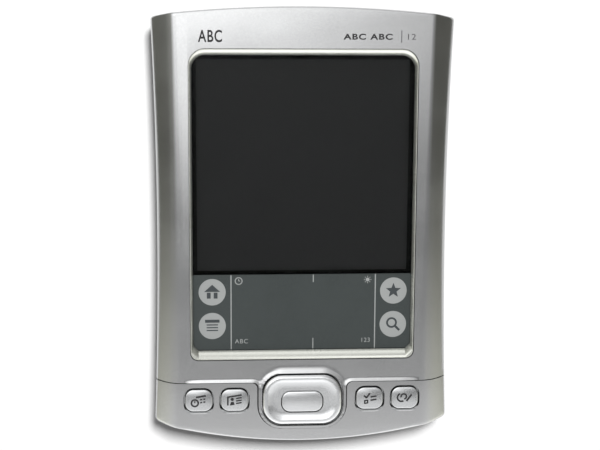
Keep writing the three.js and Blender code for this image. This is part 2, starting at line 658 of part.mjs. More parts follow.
function mainBoard() {
  const plate = box(boardLeft, boardRight, boardFoot, boardHead, BOARD_HEIGHT, boardTop);
  const tab = box(-tongueHalf, tongueHalf, bottomEnd + 4.6, boardFoot + 1, BOARD_HEIGHT, boardTop);
  const holes = screwPlaces.slice(0, 2).map(([, x, y]) => join(
    post(x, y, BOARD_HEIGHT - 1, boardTop + 1, BOSS / 2 + 0.3, 12),
    box(x - BOSS / 2 - 0.3, x + BOSS / 2 + 0.3, y, y + 8, BOARD_HEIGHT - 1, boardTop + 1)));
  return cut(join(plate, tab), ...holes);
}

const onBoard = BOARD_HEIGHT - STACK; // parts hang from the board's under side

function shieldCan(x0, x1, y0, y1, deep) {
  const wall = 0.2;
  return cut(
    box(x0, x1, y0, y1, onBoard - deep, onBoard),
    box(x0 + wall, x1 - wall, y0 + wall, y1 - wall, onBoard - deep + wall, onBoard + 1),
  );
}

const canLeft = boardLeft + 1;
const canRight = JACK_X + 3.2;
const canHead = topEnd - 19.5;
const canFoot = topEnd - 47.5;
const chipX = (canLeft + canRight) / 2;

// ---------------------------------------------------------------- ports and inner parts

const cardHead = endWallY(CARD_X + CARD_WIDTH / 2, CARD_HEIGHT) - CARD_SINK;
const cardFoot = cardHead - CARD_LENGTH;
const cageHead = endWallY(CARD_X + CARD_WIDTH / 2, CARD_HEIGHT) - BACK_WALL - 1;

function blankCard() {
  const notch = 4;
  const [left, right] = [CARD_X - CARD_WIDTH / 2, CARD_X + CARD_WIDTH / 2];
  const shape = new THREE.Shape();
  shape.moveTo(left, cardFoot);
  shape.lineTo(right - notch, cardFoot);
  shape.lineTo(right, cardFoot + notch);
  shape.lineTo(right, cardHead);
  shape.lineTo(left, cardHead);
  const top = CARD_HEIGHT + CARD_THICK;
  const grip = block(CARD_X, cardHead - 2.4, CARD_WIDTH * 0.5, 1, top - 0.4, top + 1);
  return cut(slab(shape, CARD_HEIGHT, top), grip);
}

function cardCage() {
  const half = CARD_WIDTH / 2 + CLEAR;
  const outer = half + CAGE_WALL;
  const [low, high] = [CARD_HEIGHT - CLEAR, CARD_HEIGHT + CARD_THICK + CLEAR];
  return cut(
    box(CARD_X - outer, CARD_X + outer, cardFoot - 1.2, cageHead, low - CAGE_WALL, onBoard),
    box(CARD_X - half, CARD_X + half, cardFoot - 0.6, cageHead + 1, low, high),
  );
}

function headphoneJack() {
  const under = JACK_HEIGHT - JACK_THICK / 2;
  const head = endWallY(JACK_X - JACK_WIDTH / 2, under) - BACK_WALL - 1.5;
  const body = block(JACK_X, head - JACK_DEEP / 2, JACK_WIDTH, JACK_DEEP, under, onBoard);
  const tip = endWallY(JACK_X, JACK_HEIGHT) - 0.6;
  const nose = rod(JACK_X, JACK_HEIGHT, head - 1, tip, JACK_BORE / 2 + 0.4, 16);
  return cut(join(body, nose), rod(JACK_X, JACK_HEIGHT, head - JACK_DEEP + 1, topEnd, JACK_BORE / 2, 16));
}

function infraredWindow() {
  const y = endWallY(IR_X, IR_HEIGHT);
  const face_ = endSlab(IR_X, IR_HEIGHT, IR_WIDTH - 0.2, IR_TALL - 0.2, 0.4, y - BACK_WALL - 1.4, y - 0.4);
  const inner = y - BACK_WALL - 2;
  return join(face_, endSlab(IR_X, IR_HEIGHT, IR_WIDTH - 0.2, IR_TALL + 0.5, 0.2, inner, inner + 0.7));
}

function infraredTransceiver() {
  const y = endWallY(IR_X, IR_HEIGHT) - BACK_WALL - 2.4;
  const x = IR_X + 0.6;
  return join(block(x, y - 1.6, 4, 2.4, onBoard - 2.8, onBoard), rod(x, IR_HEIGHT, y - 0.6, y, 1, 10));
}

const powerY = endWallY(POWER_X + POWER_WIDTH / 2, POWER_HEIGHT);

function powerButton() {
  const inner = powerY - BACK_WALL - 0.9;
  const outer = powerY + POWER_PROUD;
  const cap = endSlab(POWER_X, POWER_HEIGHT, POWER_WIDTH, POWER_TALL, 1.1, inner - 0.4, outer, FINE);
  const collar = endSlab(POWER_X, POWER_HEIGHT, POWER_WIDTH + 1.6, POWER_TALL + 1, 0.4, inner - 0.8, inner);
  return join(cap, collar);
}

function powerSwitch() {
  const reach = powerY - BACK_WALL - 1.7 - POWER_TRAVEL - 0.1;
  const can = block(POWER_X, reach - 2, 6, 3, onBoard - 3.2, onBoard);
  return join(can, rod(POWER_X, POWER_HEIGHT, reach - 1, reach, 0.9, 10));
}

function dockConnector() {
  const [low, high] = [CONNECTOR_HEIGHT, CONNECTOR_HEIGHT + CONNECTOR_TALL];
  const nose = footWallY(CONNECTOR_WIDTH / 2, low) + 0.4;
  const end = nose + CONNECTOR_DEEP;
  const mouthHalf = CONNECTOR_WIDTH / 2 - 0.8;
  const body = endSlab(0, (low + high) / 2, CONNECTOR_WIDTH, CONNECTOR_TALL - 0.6, 0.7, nose, end);
  const mouth = box(-mouthHalf, mouthHalf, nose - 1, end - 2, low + 0.8, high - 0.8);
  return cut(body, mouth);
}

function dockContacts() {
  const nose = footWallY(CONNECTOR_WIDTH / 2, CONNECTOR_HEIGHT) + 0.4;
  const z = CONNECTOR_HEIGHT + 0.85;
  const pitch = (CONNECTOR_WIDTH - 4) / (CONTACTS - 1);
  const [from, to] = [nose + 1, nose + CONNECTOR_DEEP - 2.05];
  const pins = Array.from({ length: CONTACTS }, (_, i) =>
    block(-(CONNECTOR_WIDTH - 4) / 2 + i * pitch, (from + to) / 2, pitch * 0.45, to - from, z, z + 0.4));
  return join(block(0, to - 0.4, CONNECTOR_WIDTH - 2.4, 0.7, z, z + 0.5), ...pins);
}

const batteryHead = topEnd - 55.4;
const batteryFoot = batteryHead - BATTERY_LENGTH;
const batteryUnder = BACK_WALL + 0.3;
const batteryY = (batteryHead + batteryFoot) / 2;
const battery = () => roundSlab(BATTERY_X, batteryY, BATTERY_WIDTH, BATTERY_LENGTH, 1.5,
  batteryUnder, batteryUnder + BATTERY_THICK, 3);

const leadPlug = { x: BATTERY_X + BATTERY_WIDTH / 2 - 6, y: batteryHead + 5 };
const batterySocket = () => block(leadPlug.x, leadPlug.y + 1.4, 5, 3, onBoard - 2, onBoard);

function batteryLead(offset) {
  const z = batteryUnder + BATTERY_THICK - 1.2;
  const [x, y] = [leadPlug.x + offset, batteryHead + 0.2];
  const route = new THREE.CatmullRomCurve3([
    new THREE.Vector3(x - 3, y, z),
    new THREE.Vector3(x - 2.6, y + 1.4, z - 0.3),
    new THREE.Vector3(x - 0.6, y + 2.4, z + 0.2),
    new THREE.Vector3(x, leadPlug.y - 0.3, onBoard - 1),
  ]);
  const section = new THREE.Shape();
  section.absarc(0, 0, 0.4, 0, 2 * Math.PI);
  const settings = { steps: 8, extrudePath: route, curveSegments: 3, bevelEnabled: false };
  return solid(new THREE.ExtrudeGeometry(section, settings));
}

const speakerY = topEnd - SPEAKER_FROM_TOP;
const speakerUnder = BACK_WALL + 0.45;
const speaker = () => join(
  post(SPEAKER_X, speakerY, speakerUnder, speakerUnder + 1, SPEAKER / 2, 16),
  post(SPEAKER_X, speakerY, speakerUnder, speakerUnder + SPEAKER_THICK, SPEAKER / 2 - 2.2, 16),
);
const speakerGasket = () => cut(
  post(SPEAKER_X, speakerY, BACK_WALL + STACK, speakerUnder - STACK, SPEAKER / 2, 16),
  post(SPEAKER_X, speakerY, 0, speakerUnder + 1, SPEAKER / 2 - 1.4, 16),
);

const resetY = topEnd - RESET_FROM_TOP;
const resetDeep = 2;
const resetSwitch = () => cut(
  block(RESET_X, resetY, 3.6, 3.6, onBoard - resetDeep, onBoard),
  post(RESET_X, resetY, 0, onBoard - 1, 0.9, 10),
);
const resetPlunger = () =>
  post(RESET_X, resetY, onBoard - resetDeep - 0.6, onBoard - 1 - RESET_TRAVEL - 0.1, 0.7, 10);

const label = () =>
  block(0, bottomEnd + LABEL_FROM_BOTTOM, LABEL_WIDTH, LABEL_LENGTH, STACK, LABEL_THICK + STACK);

// A flexible printed strip: a thin ribbon through points in the plane of y and z.
function ribbon(x, width, points, thick = 0.15) {
  const upper = points.map(([y, z]) => new THREE.Vector2(y, z + thick / 2));
  const lower = points.map(([y, z]) => new THREE.Vector2(y, z - thick / 2)).reverse();
  const settings = { depth: width, bevelEnabled: false };
  const strip = new THREE.ExtrudeGeometry(new THREE.Shape([...upper, ...lower]), settings);
  // The shape's x runs along y here, its y along z and its depth along x.
  const turn = new THREE.Matrix4().makeBasis(
    new THREE.Vector3(0, 1, 0), new THREE.Vector3(0, 0, 1), new THREE.Vector3(1, 0, 0));
  return solid(strip.applyMatrix4(turn).translate(x - width / 2, 0, 0));
}

function displayRibbon() {
  const start = displayY - displayHalf - 0.1;
  const z = backlightTop - 0.4;
  const low = boardTop + 0.45;
  return ribbon(flexX, flexWidth, [[start, z], [start - 5, z], [start - 8, low], [start - 12, low]]);
}

function touchTail() {
  return block(tailX, tailY, tailWidth, 0.2, boardTop + STACK, glassUnder - 2 * STACK);
}

// ---------------------------------------------------------------- stylus and its silo

const stylusTop = endWallY(stylusX, STYLUS_HEIGHT) + STYLUS_PROUD;
const barrelHead = stylusTop - STYLUS_CAP;
const stylusFoot = stylusTop - STYLUS_LENGTH;
const barrelFoot = stylusFoot + STYLUS_TIP;

const stylusBarrel = () => rod(stylusX, STYLUS_HEIGHT, barrelFoot, barrelHead, STYLUS / 2, 12);
const stylusTip = () => join(
  rod(stylusX, STYLUS_HEIGHT, barrelFoot - 1.6, barrelFoot - STACK, STYLUS / 2, 12),
  rod(stylusX, STYLUS_HEIGHT, stylusFoot, barrelFoot - 1.6, 0.45, 12, STYLUS / 2 - 0.1),
);

function stylusCap() {
  const grooveY = stylusTop - 1.6;
  const body = rod(stylusX, STYLUS_HEIGHT, barrelHead + STACK, stylusTop, SILO_BORE / 2 - 0.3, 12);
  const groove = cut(
    rod(stylusX, STYLUS_HEIGHT, grooveY - 0.5, grooveY + 0.5, SILO_BORE, 12),
    rod(stylusX, STYLUS_HEIGHT, grooveY - 1, grooveY + 1, SILO_BORE / 2 - 0.65, 12),
  );
  return cut(body, groove);
}

function stylusSilo() {
  const mouth = endWallY(stylusX + siloRadius, STYLUS_HEIGHT) - 0.5;
  return cut(
    rod(stylusX, STYLUS_HEIGHT, stylusFoot - 1.5, mouth, siloRadius, 16),
    rod(stylusX, STYLUS_HEIGHT, stylusFoot - 0.5, mouth + 5, SILO_BORE / 2, 12),
  );
}

// ---------------------------------------------------------------- keys and navigation pad

function key(x) {
  const crown = chinFace + 0.35;
  const cap = roundSlab(x, keyRowY, KEY_WIDTH, KEY_HEIGHT, KEY_RADIUS, keyCollarTop - 0.5, crown, FINE);
  const collar = roundSlab(x, keyRowY, KEY_WIDTH + 2 * KEY_COLLAR, KEY_HEIGHT + 2 * KEY_COLLAR, KEY_RADIUS,
    keyCollarTop - 0.5, keyCollarTop, 2);
  return join(cap, collar, post(x, keyRowY, stemEnd, keyCollarTop, KEY_STEM / 2, 10));
}

const padCollarTop = faceUnder - 0.7;
const padUnder = padCollarTop - 0.5;
const plateTop = padUnder - 0.5;
const plateUnder = plateTop - 0.4;

const selectY = keyRowY - SELECT_DROP;

function navPad() {
  const cap = roundSlab(0, keyRowY, PAD_WIDTH, PAD_HEIGHT, PAD_RADIUS, padUnder, THICKNESS, FINE);
  const collar = roundSlab(0, keyRowY, PAD_WIDTH + 1.2, PAD_HEIGHT + 1.2, PAD_RADIUS, padUnder, padCollarTop);
  const [width, height] = [SELECT_WIDTH + 2 * CLEAR, SELECT_HEIGHT + 2 * CLEAR];
  const hole = roundSlab(0, selectY, width, height, SELECT_RADIUS + CLEAR, padUnder - 1, THICKNESS + 1, FINE);
  const level = (z, inset) => ({
    z,
    points: roundRect(0, keyRowY, PAD_WIDTH - inset * 2, PAD_HEIGHT - inset * 2, PAD_RADIUS - inset / 2)
      .extractPoints(FINE).shape,
  });
  const crest = 1.1;
  const floor = level(THICKNESS - PAD_DISH, 3.4);
  const dish = loft([floor, level(THICKNESS - 0.1, crest), level(THICKNESS + 1, crest)]);
  const nubs = [-1, 1].map((s) => post(s * padReach.x, keyRowY, plateUnder - 0.05, padUnder + 0.2, 0.6, 8));
  return cut(join(cap, collar, ...nubs), hole, dish);
}

function navPlate() {
  const half = padReach.x - 1.2;
  const outer = roundRect(0, keyRowY, 2 * half, 2 * padReach.y + 0.4, 1.5);
  outer.holes.push(roundRect(0, keyRowY, SELECT_WIDTH + 2 * CLEAR + 0.4, SELECT_HEIGHT + 2 * CLEAR, 1));
  const bearing = padReach.y * 0.87;
  const pins = (z0, z1) => [-bearing, bearing].map((y) => post(0, keyRowY + y, z0, z1, 0.5, 8));
  const nubs = pins(plateTop - 0.2, padUnder - 0.1);
  const feet = pins(plateUnder - 0.12, plateUnder + 0.2);
  return join(slab(outer, plateUnder, plateTop), ...nubs, ...feet);
}

function selectButton() {
  const crown = THICKNESS - PAD_DISH + 0.1;
  const under = plateTop + KEY_TRAVEL + 0.2;
  const cap = roundSlab(0, selectY, SELECT_WIDTH, SELECT_HEIGHT, SELECT_RADIUS, under, crown, FINE);
  return join(cap, post(0, keyRowY, stemEnd, under + 0.2, KEY_STEM / 2, 10));
}

// ---------------------------------------------------------------- finishes and assembly

const finish = (color, roughness, metalness, extra = {}) =>
  new THREE.MeshStandardMaterial({ color, roughness, metalness, ...extra });
const silver = finish(0xb4b6b8, 0.35, 0.7);
const silverKey = finish(0xc0c2c4, 0.4, 0.6);
const brightTrim = finish(0xd8dad2, 0.2, 0.9);
const blackGlass = finish(0x2b2b2b, 0.1, 0);
const clearGlass = finish(0xdfe6e8, 0.05, 0, { transparent: true, opacity: 0.25 });
const inputPrint = finish(0x5a6468, 0.35, 0.3);
const steel = finish(0xb8b8ba, 0.3, 1);
const brass = finish(0xc8a450, 0.35, 1);
const blackPlastic = finish(0x1c1c1e, 0.5, 0);
const darkRed = finish(0x24080a, 0.15, 0);
const greyPlastic = finish(0x5c5e60, 0.6, 0);
const boardGreen = finish(0x1c5a34, 0.5, 0);
const rubber = finish(0x3a3c3e, 0.9, 0);
const amberFilm = finish(0xb06a1c, 0.4, 0);
const foam = finish(0x1a1a1a, 0.95, 0);
const cellWrap = finish(0x9aa0a4, 0.4, 0.2);
const redWire = finish(0xa81c18, 0.5, 0);
const whitePlastic = finish(0xe6e6e0, 0.4, 0);

const group = new THREE.Group();
function add(name, made, material) {
  const mesh = new THREE.Mesh(geometryOf(made), material);
  mesh.name = name;
  group.add(mesh);
}

add("front_housing", frontHousing(), silver);
add("chin_panel", chinPanel(), silver);
add("back_cover", backCover(), silver);
add("window_trim", windowTrim(), brightTrim);
add("glass_gasket", glassGasket(), foam);
add("touch_panel", touchPanel(), clearGlass);
add("input_area_film", inputFilm(), inputPrint);
add("display_panel", displayPanel(), blackGlass);
add("display_backlight", backlight(), whitePlastic);
add("display_cradle", displayCradle(), steel);
add("chassis", chassis(), greyPlastic);
add("display_ribbon", displayRibbon(), amberFilm);
add("touch_panel_tail", touchTail(), amberFilm);
add("main_board", mainBoard(), boardGreen);
add("shield_can", shieldCan(canLeft, canRight, canFoot, canHead, 2.4), steel);
add("processor_chip", block(chipX, canFoot + 8, 11, 11, onBoard - 1.3, onBoard), blackPlastic);
add("memory_chip", block(chipX, canFoot + 20, 11, 8, onBoard - 1.1, onBoard), blackPlastic);
add("radio_module", shieldCan(SPEAKER_X - 6, SPEAKER_X + 6, resetY + 1, resetY + 12, 1.8), steel);
add("key_board", keyBoard(), amberFilm);
add("dome_sheet", domeSheet(), steel);
add("key_mat", keyMat(), rubber);
keyXs.forEach((x, i) => add(KEY_NAMES[i], key(x), silverKey));
add("nav_rocker_plate", navPlate(), greyPlastic);
add("nav_pad", navPad(), silverKey);
add("select_button", selectButton(), silverKey);
add("card_cage", cardCage(), steel);
add("blank_memory_card", blankCard(), blackPlastic);
add("headphone_jack", headphoneJack(), blackPlastic);
add("infrared_window", infraredWindow(), darkRed);
add("infrared_transceiver", infraredTransceiver(), blackPlastic);
add("power_button", powerButton(), silverKey);
add("power_switch", powerSwitch(), steel);
add("dock_connector", dockConnector(), blackPlastic);
add("dock_contacts", dockContacts(), brass);
add("battery", battery(), cellWrap);
add("battery_socket", batterySocket(), whitePlastic);
add("battery_lead_red", batteryLead(-1), redWire);
add("battery_lead_black", batteryLead(1), blackPlastic);
add("speaker", speaker(), steel);
add("speaker_gasket", speakerGasket(), foam);
add("reset_switch", resetSwitch(), steel);
add("reset_plunger", resetPlunger(), blackPlastic);
add("rating_label", label(), whitePlastic);
add("stylus_silo", stylusSilo(), greyPlastic);
add("stylus_barrel", stylusBarrel(), steel);
add("stylus_cap", stylusCap(), silver);
add("stylus_tip", stylusTip(), blackPlastic);
screwPlaces.forEach(([name, x, y]) => add(name, screw(x, y), steel));

export default group;
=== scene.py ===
import math

import bmesh
import bpy
from mathutils import Matrix, Vector


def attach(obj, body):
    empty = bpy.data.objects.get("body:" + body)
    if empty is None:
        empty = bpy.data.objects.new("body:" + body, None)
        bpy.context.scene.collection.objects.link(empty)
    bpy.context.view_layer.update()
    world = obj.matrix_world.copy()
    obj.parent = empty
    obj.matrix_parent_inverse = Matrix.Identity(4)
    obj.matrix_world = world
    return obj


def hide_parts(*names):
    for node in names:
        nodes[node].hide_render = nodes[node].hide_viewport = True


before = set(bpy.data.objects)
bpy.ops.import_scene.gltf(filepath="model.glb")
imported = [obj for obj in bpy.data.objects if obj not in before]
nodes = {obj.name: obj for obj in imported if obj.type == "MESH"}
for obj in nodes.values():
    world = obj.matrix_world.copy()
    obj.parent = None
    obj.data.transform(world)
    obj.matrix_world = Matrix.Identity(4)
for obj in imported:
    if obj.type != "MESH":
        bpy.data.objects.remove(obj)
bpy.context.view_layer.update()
MM = 0.001

# ---------------------------------------------------------------- the casing's sizes, in millimetres

TOP_END = 57.4
BOTTOM_END = -57.4
HALF_END = 39.1
HALF_WAIST = 37.95
TOP_ARCH = 2.3
BOTTOM_ARCH = 5.1
CORNER = 0.8
PARTING = 7.0
EDGE_HEIGHT = 10.4
TOP = 15.0
FACE = 14.6
CHIN_DROP = 0.3
CHIN_FACE = FACE - CHIN_DROP
EDGE_ROLL = 0.5
FLANK = 5.6
FLANK_WAIST = 4.6
FLANK_BULGE = 0.2
SHOULDER = 11.3
ROLL = 0.09
ROLL_DROP = 5.6
END_DRAFT = 0.167
SIDE_DRAFT = 0.07
BACK_ROLL = 2.4
SKIN = 1.5
BACK_WALL = 1.3
SEAM = 0.3
CLEAR = 0.3
SEAM_Y = BOTTOM_END + 16.5
KEY_ROW = BOTTOM_END + 11.6
KEY_XS = {"calendar": -27.45, "contacts": -18.0, "tasks": 18.0, "notepad": 27.45}
KEY_WIDTH, KEY_HEIGHT, KEY_RADIUS = 7.2, 6.0, 2.2
PAD_WIDTH, PAD_HEIGHT, PAD_RADIUS = 21.2, 13.7, 5.3
PAD_RIM = 0.75
SELECT_WIDTH, SELECT_HEIGHT, SELECT_RADIUS = 10.9, 5.6, 2.2
SELECT_Y = KEY_ROW - 0.6
WINDOW_HALF, WINDOW_TOP, WINDOW_FOOT = 29.6, 46.75, -34.9
WINDOW_RADIUS, WINDOW_FOOT_RADIUS = 4.3, 2.2
GLASS_HALF, GLASS_HEAD, GLASS_FOOT = 28.75, 45.0, -32.55
GLASS_TOP = 12.5
DISPLAY_Y, DISPLAY = 16.3, 55.2

# ---------------------------------------------------------------- plan outlines


def rounded_rect(x, y, width, height, radius, foot_radius=None, steps=8, foot_steps=None):
    """Points round a rectangle with rounded corners, anticlockwise from the right side's foot."""
    foot_radius = radius if foot_radius is None else foot_radius
    foot_steps = steps if foot_steps is None else foot_steps
    right, left = x + width / 2, x - width / 2
    head, foot = y + height / 2, y - height / 2
    corners = (
        (right - radius, head - radius, radius, 0, steps),
        (left + radius, head - radius, radius, 90, steps),
        (left + foot_radius, foot + foot_radius, foot_radius, 180, foot_steps),
        (right - foot_radius, foot + foot_radius, foot_radius, 270, foot_steps),
    )
    points = []
    for cx, cy, r, start, count in corners:
        for i in range(count + 1):
            a = math.radians(start + 90 * i / count)
            points.append((cx + r * math.cos(a), cy + r * math.sin(a)))
    return points


def frame_rect(half, head, foot, radius, foot_radius, steps=8, foot_steps=None):
    return rounded_rect(0, (head + foot) / 2, 2 * half, head - foot, radius, foot_radius, steps, foot_steps)


def casing_outline(end, waist, top, bottom, soften=0.0):
    """The waisted outline with arched ends. soften draws the sides in, more towards the bottom end."""
    share = (end / HALF_END) ** 2
    head, foot = top - TOP_ARCH * share, bottom + BOTTOM_ARCH * share
    middle, reach = (head + foot) / 2, (head - foot) / 2
    inner = end - CORNER

    def side_x(y):
        return waist + (end - waist) * ((y - middle) / reach) ** 2

    def top_y(x):
        return top - TOP_ARCH * (x / HALF_END) ** 2

    def bottom_y(x):
        return bottom + BOTTOM_ARCH * (x / HALF_END) ** 2

    def bend(a, b, c, steps):
        for i in range(steps):
            t = i / steps
            u = 1 - t
            yield tuple(u * u * p + 2 * u * t * q + t * t * r for p, q, r in zip(a, b, c))

    low, high = foot + CORNER, head - CORNER
    sides, ends, corner = 24, 30, 6
    points = []
    for i in range(sides):
        y = low + (high - low) * i / sides
        points.append((side_x(y), y))
    points += bend((side_x(high), high), (end, head), (inner, top_y(inner)), corner)
    for i in range(ends):
        x = inner - 2 * inner * i / ends
        points.append((x, top_y(x)))
    points += bend((-inner, top_y(inner)), (-end, head), (-side_x(high), high), corner)
    for i in range(sides):
        y = high + (low - high) * i / sides
        points.append((-side_x(y), y))
    points += bend((-side_x(low), low), (-end, foot), (-inner, bottom_y(inner)), corner)
    for i in range(ends):
        x = -inner + 2 * inner * i / ends
        points.append((x, bottom_y(x)))
    points += bend((inner, bottom_y(inner)), (end, foot), (side_x(low), low), corner)
    if not soften:
        return points
    out = []
    for x, y in points:
        share = min(1.0, max(0.0, (TOP_END - y) / (TOP_END - BOTTOM_END)))
        out.append((x * (1 - soften * (0.1 + 0.9 * share) / end), y))
    return out


def end_draft(z):
    return max(0.0, FACE - EDGE_ROLL - z) * END_DRAFT


def wall_level(z, side=0.0, roll=0.0, inset=0.0):
    lean = (EDGE_HEIGHT - z) * SIDE_DRAFT if z < EDGE_HEIGHT else 0.0
    take = lean + side + inset
    top = TOP_END - end_draft(z) - roll - inset
    bottom = BOTTOM_END + end_draft(z) + roll + inset
    return z, casing_outline(HALF_END - take, HALF_WAIST - take, top, bottom)


def flank_level(share, face=FACE, inset=0.0, drop=0.0, crease=0.0):
    """A level on the sloping flank, share 1 at the crease. The crease and the end edges are rounded over."""
    rise = face - SHOULDER
    z = SHOULDER + rise * share
    if crease and share > 1 - crease:
        z = face - rise * (1 + crease - share) ** 2 / (4 * crease)
    if share < ROLL:
        z -= rise * (ROLL - share) ** 2 / (2 * ROLL) * ROLL_DROP
    bow = FLANK_BULGE * 4 * share * max(0.0, 1 - share)
    under = max(0.0, 1 - (face - z) / EDGE_ROLL)
    roll = EDGE_ROLL * (1 - math.sqrt(max(0.0, 1 - under * under)))
    soften = 1.6 * max(0.0, (share - 0.55) / 0.45) ** 2.5
    points = casing_outline(
        HALF_END - FLANK * share + bow - inset,
        HALF_WAIST - FLANK_WAIST * share + bow - inset,
        TOP_END - end_draft(z) - roll - inset,
        BOTTOM_END + end_draft(z) + roll + inset,
        soften,
    )
    return z - drop, points


def chin_outline(gap):
    """Everything under the seam, less the tongue of casing that holds the pad."""
    half = PAD_WIDTH / 2 + CLEAR + PAD_RIM + gap
    foot = KEY_ROW - (PAD_HEIGHT / 2 + CLEAR + PAD_RIM) - gap
    radius = PAD_RADIUS + CLEAR + PAD_RIM + gap
    fillet = 1.5
    y = SEAM_Y - gap
    crease = HALF_END - FLANK
    out = HALF_END + 2

    def arc(cx, cy, r, start, end, steps=10):
        for i in range(steps + 1):
            a = math.radians(start + (end - start) * i / steps)
            yield (cx + r * math.cos(a), cy + r * math.sin(a))

    points = [(-out, BOTTOM_END - 5), (out, BOTTOM_END - 5), (out, y + 1.1)]
    for i in range(1, 9):
        t = i / 8
        points.append((out + (crease - out) * t, y + 1.1 * (1 - t) ** 2))
    points += arc(half + fillet, y - fillet, fillet, 90, 180)
    points += arc(half - radius, foot + radius, radius, 0, -90)
    points += arc(radius - half, foot + radius, radius, -90, -180)
    points += arc(-half - fillet, y - fillet, fillet, 0, 90)
    for i in range(8):
        t = i / 8
        points.append((-crease + (crease - out) * t, y + 1.1 * t**2))
    points.append((-out, y + 1.1))
    return points


# ---------------------------------------------------------------- making meshes


def solid_object(name, bm):
    bmesh.ops.recalc_face_normals(bm, faces=bm.faces[:])
    mesh = bpy.data.meshes.new(name)
    bm.to_mesh(mesh)
    bm.free()
    made = bpy.data.objects.new(name, mesh)
    bpy.context.scene.collection.objects.link(made)
    return made


def loft(levels):
    """A closed solid: one face, extruded up from level to level and reshaped at each."""
    bm = bmesh.new()
    z, points = levels[0]
    ring = [bm.verts.new((x * MM, y * MM, z * MM)) for x, y in points]
    foot = cap = bm.faces.new(ring)
    for z, points in levels[1:]:
        place = {v.co.to_tuple(7): point for v, point in zip(ring, points)}
        made = bmesh.ops.extrude_face_region(bm, geom=[cap])["geom"]
        if cap is not foot:
            bm.faces.remove(cap)
        cap = [g for g in made if isinstance(g, bmesh.types.BMFace)][0]
        moved = {v.co.to_tuple(7): v for v in cap.verts}
        ring = [moved[key] for key in place]
        for v, (x, y) in zip(ring, points):
            v.co = (x * MM, y * MM, z * MM)
    return bm


def prism(points, z0, z1):
    return loft([(z0, points), (z1, points)])


def box(x0, x1, y0, y1, z0, z1):
    return prism([(x0, y0), (x1, y0), (x1, y1), (x0, y1)], z0, z1)


def cylinder(bm, place, radius, depth, sides):
    """A round bar along its own z axis, put in place by a matrix."""
    radius *= MM
    bmesh.ops.create_cone(
        bm, cap_ends=True, segments=sides, radius1=radius, radius2=radius, depth=depth * MM, matrix=place
    )
    return bm


def rod(x, z, y0, y1, radius):
    """A round bar along y."""
    middle = Matrix.Translation((x * MM, (y0 + y1) / 2 * MM, z * MM))
    return cylinder(bmesh.new(), middle @ Matrix.Rotation(math.radians(-90), 4, "X"), radius, y1 - y0, 48)


def post(x, y, z0, z1, radius, sides=48):
    """A round bar along z."""
    middle = Matrix.Translation((x * MM, y * MM, (z0 + z1) / 2 * MM))
    return cylinder(bmesh.new(), middle, radius, z1 - z0, sides)


def end_slot(x, z, width, tall, radius, y0, y1):
    """A rounded slot through an end wall, along y."""
    bm = prism(rounded_rect(x, z, width, tall, radius), 0, y1 - y0)
    turn = Matrix.Translation((0, y1 * MM, 0)) @ Matrix.Rotation(math.radians(90), 4, "X")
    bmesh.ops.transform(bm, matrix=turn, verts=bm.verts[:])
    return bm


def work(body, tool, operation):
    """Cuts tool from body, or joins it, and drops the tool."""
    cutter = solid_object("tool", tool)
    step = body.modifiers.new("step", "BOOLEAN")
    step.operation = operation
    step.solver = "EXACT"
    step.object = cutter
    done = bpy.data.meshes.new_from_object(body.evaluated_get(bpy.context.evaluated_depsgraph_get()))
    body.modifiers.clear()
    old = body.data
    body.data = done
    done.name = body.name
    bpy.data.meshes.remove(old)
    bpy.data.meshes.remove(cutter.data)
    return body


def carve(body, *tools):
    for tool in tools:
        work(body, tool, "DIFFERENCE")
    return body


def weld(body, *tools):
    for tool in tools:
        work(body, tool, "UNION")
    return body


def soften_edges(piece, width=0.12, segments=2, angle=32):
    """Rounds every edge sharper than angle and shades the rest smooth."""
    piece.data.shade_smooth()
    piece.data.set_sharp_from_angle(angle=math.radians(angle))
    edge = piece.modifiers.new("edge_round", "BEVEL")
    edge.width = width * MM
    edge.segments = segments
    edge.limit_method = "ANGLE"
    edge.angle_limit = math.radians(angle)
    edge.harden_normals = True
    return piece


def paint_gap_shade(piece, bounds):
    """Gives the walls of a hole, which bounds holds in plan, the second material: a black that paints in the
    shade of the gap.
    """
    for face in piece.data.polygons:
        x, y = face.center.x / MM, face.center.y / MM
        inside = any(x0 < x < x1 and y0 < y < y1 for x0, x1, y0, y1 in bounds)
        if inside and abs(face.normal.z) < 0.35:
            face.material_index = 1
    return piece


def settle(piece, body, *stands_for):
    """Puts a finished piece on its body, in place of its CAD nodes."""
    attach(piece, body)
    if stands_for:
        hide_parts(*stands_for)
    return piece


def dress(piece, *materials):
    piece.data.materials.clear()
    for material in materials:
        piece.data.materials.append(material)
    return piece


# ---------------------------------------------------------------- shader effects


def node_group(name, inputs, outputs):
    tree = bpy.data.node_groups.new(name, "ShaderNodeTree")
    for label, kind, value in inputs:
        socket = tree.interface.new_socket(name=label, in_out="INPUT", socket_type=kind)
        if value is not None:
            socket.default_value = value
    for label, kind in outputs:
        tree.interface.new_socket(name=label, in_out="OUTPUT", socket_type=kind)
    return tree, tree.nodes.new("NodeGroupInput"), tree.nodes.new("NodeGroupOutput")


FLOAT, COLOR, VECTOR = "NodeSocketFloat", "NodeSocketColor", "NodeSocketVector"


def supply(tree, socket, value):
    """Links another node's output to a socket, or sets the socket to a plain value."""
    if hasattr(value, "is_output"):
        tree.links.new(value, socket)
    else:
        socket.default_value = value


def value_map(tree, source, low, high, to_low, to_high):
    node = tree.nodes.new("ShaderNodeMapRange")
    for label, value in (("From Min", low), ("From Max", high), ("To Min", to_low), ("To Max", to_high)):
        node.inputs[label].default_value = value
    tree.links.new(source, node.inputs["Value"])
    return node.outputs["Result"]


def arithmetic(tree, operation, *values):
    node = tree.nodes.new("ShaderNodeMath")
    node.operation = operation
    for socket, value in zip(node.inputs, values):
        supply(tree, socket, value)
    return node.outputs[0]


def add(tree, a, b):
    return arithmetic(tree, "ADD", a, b)


def multiply(tree, a, b):
    return arithmetic(tree, "MULTIPLY", a, b)


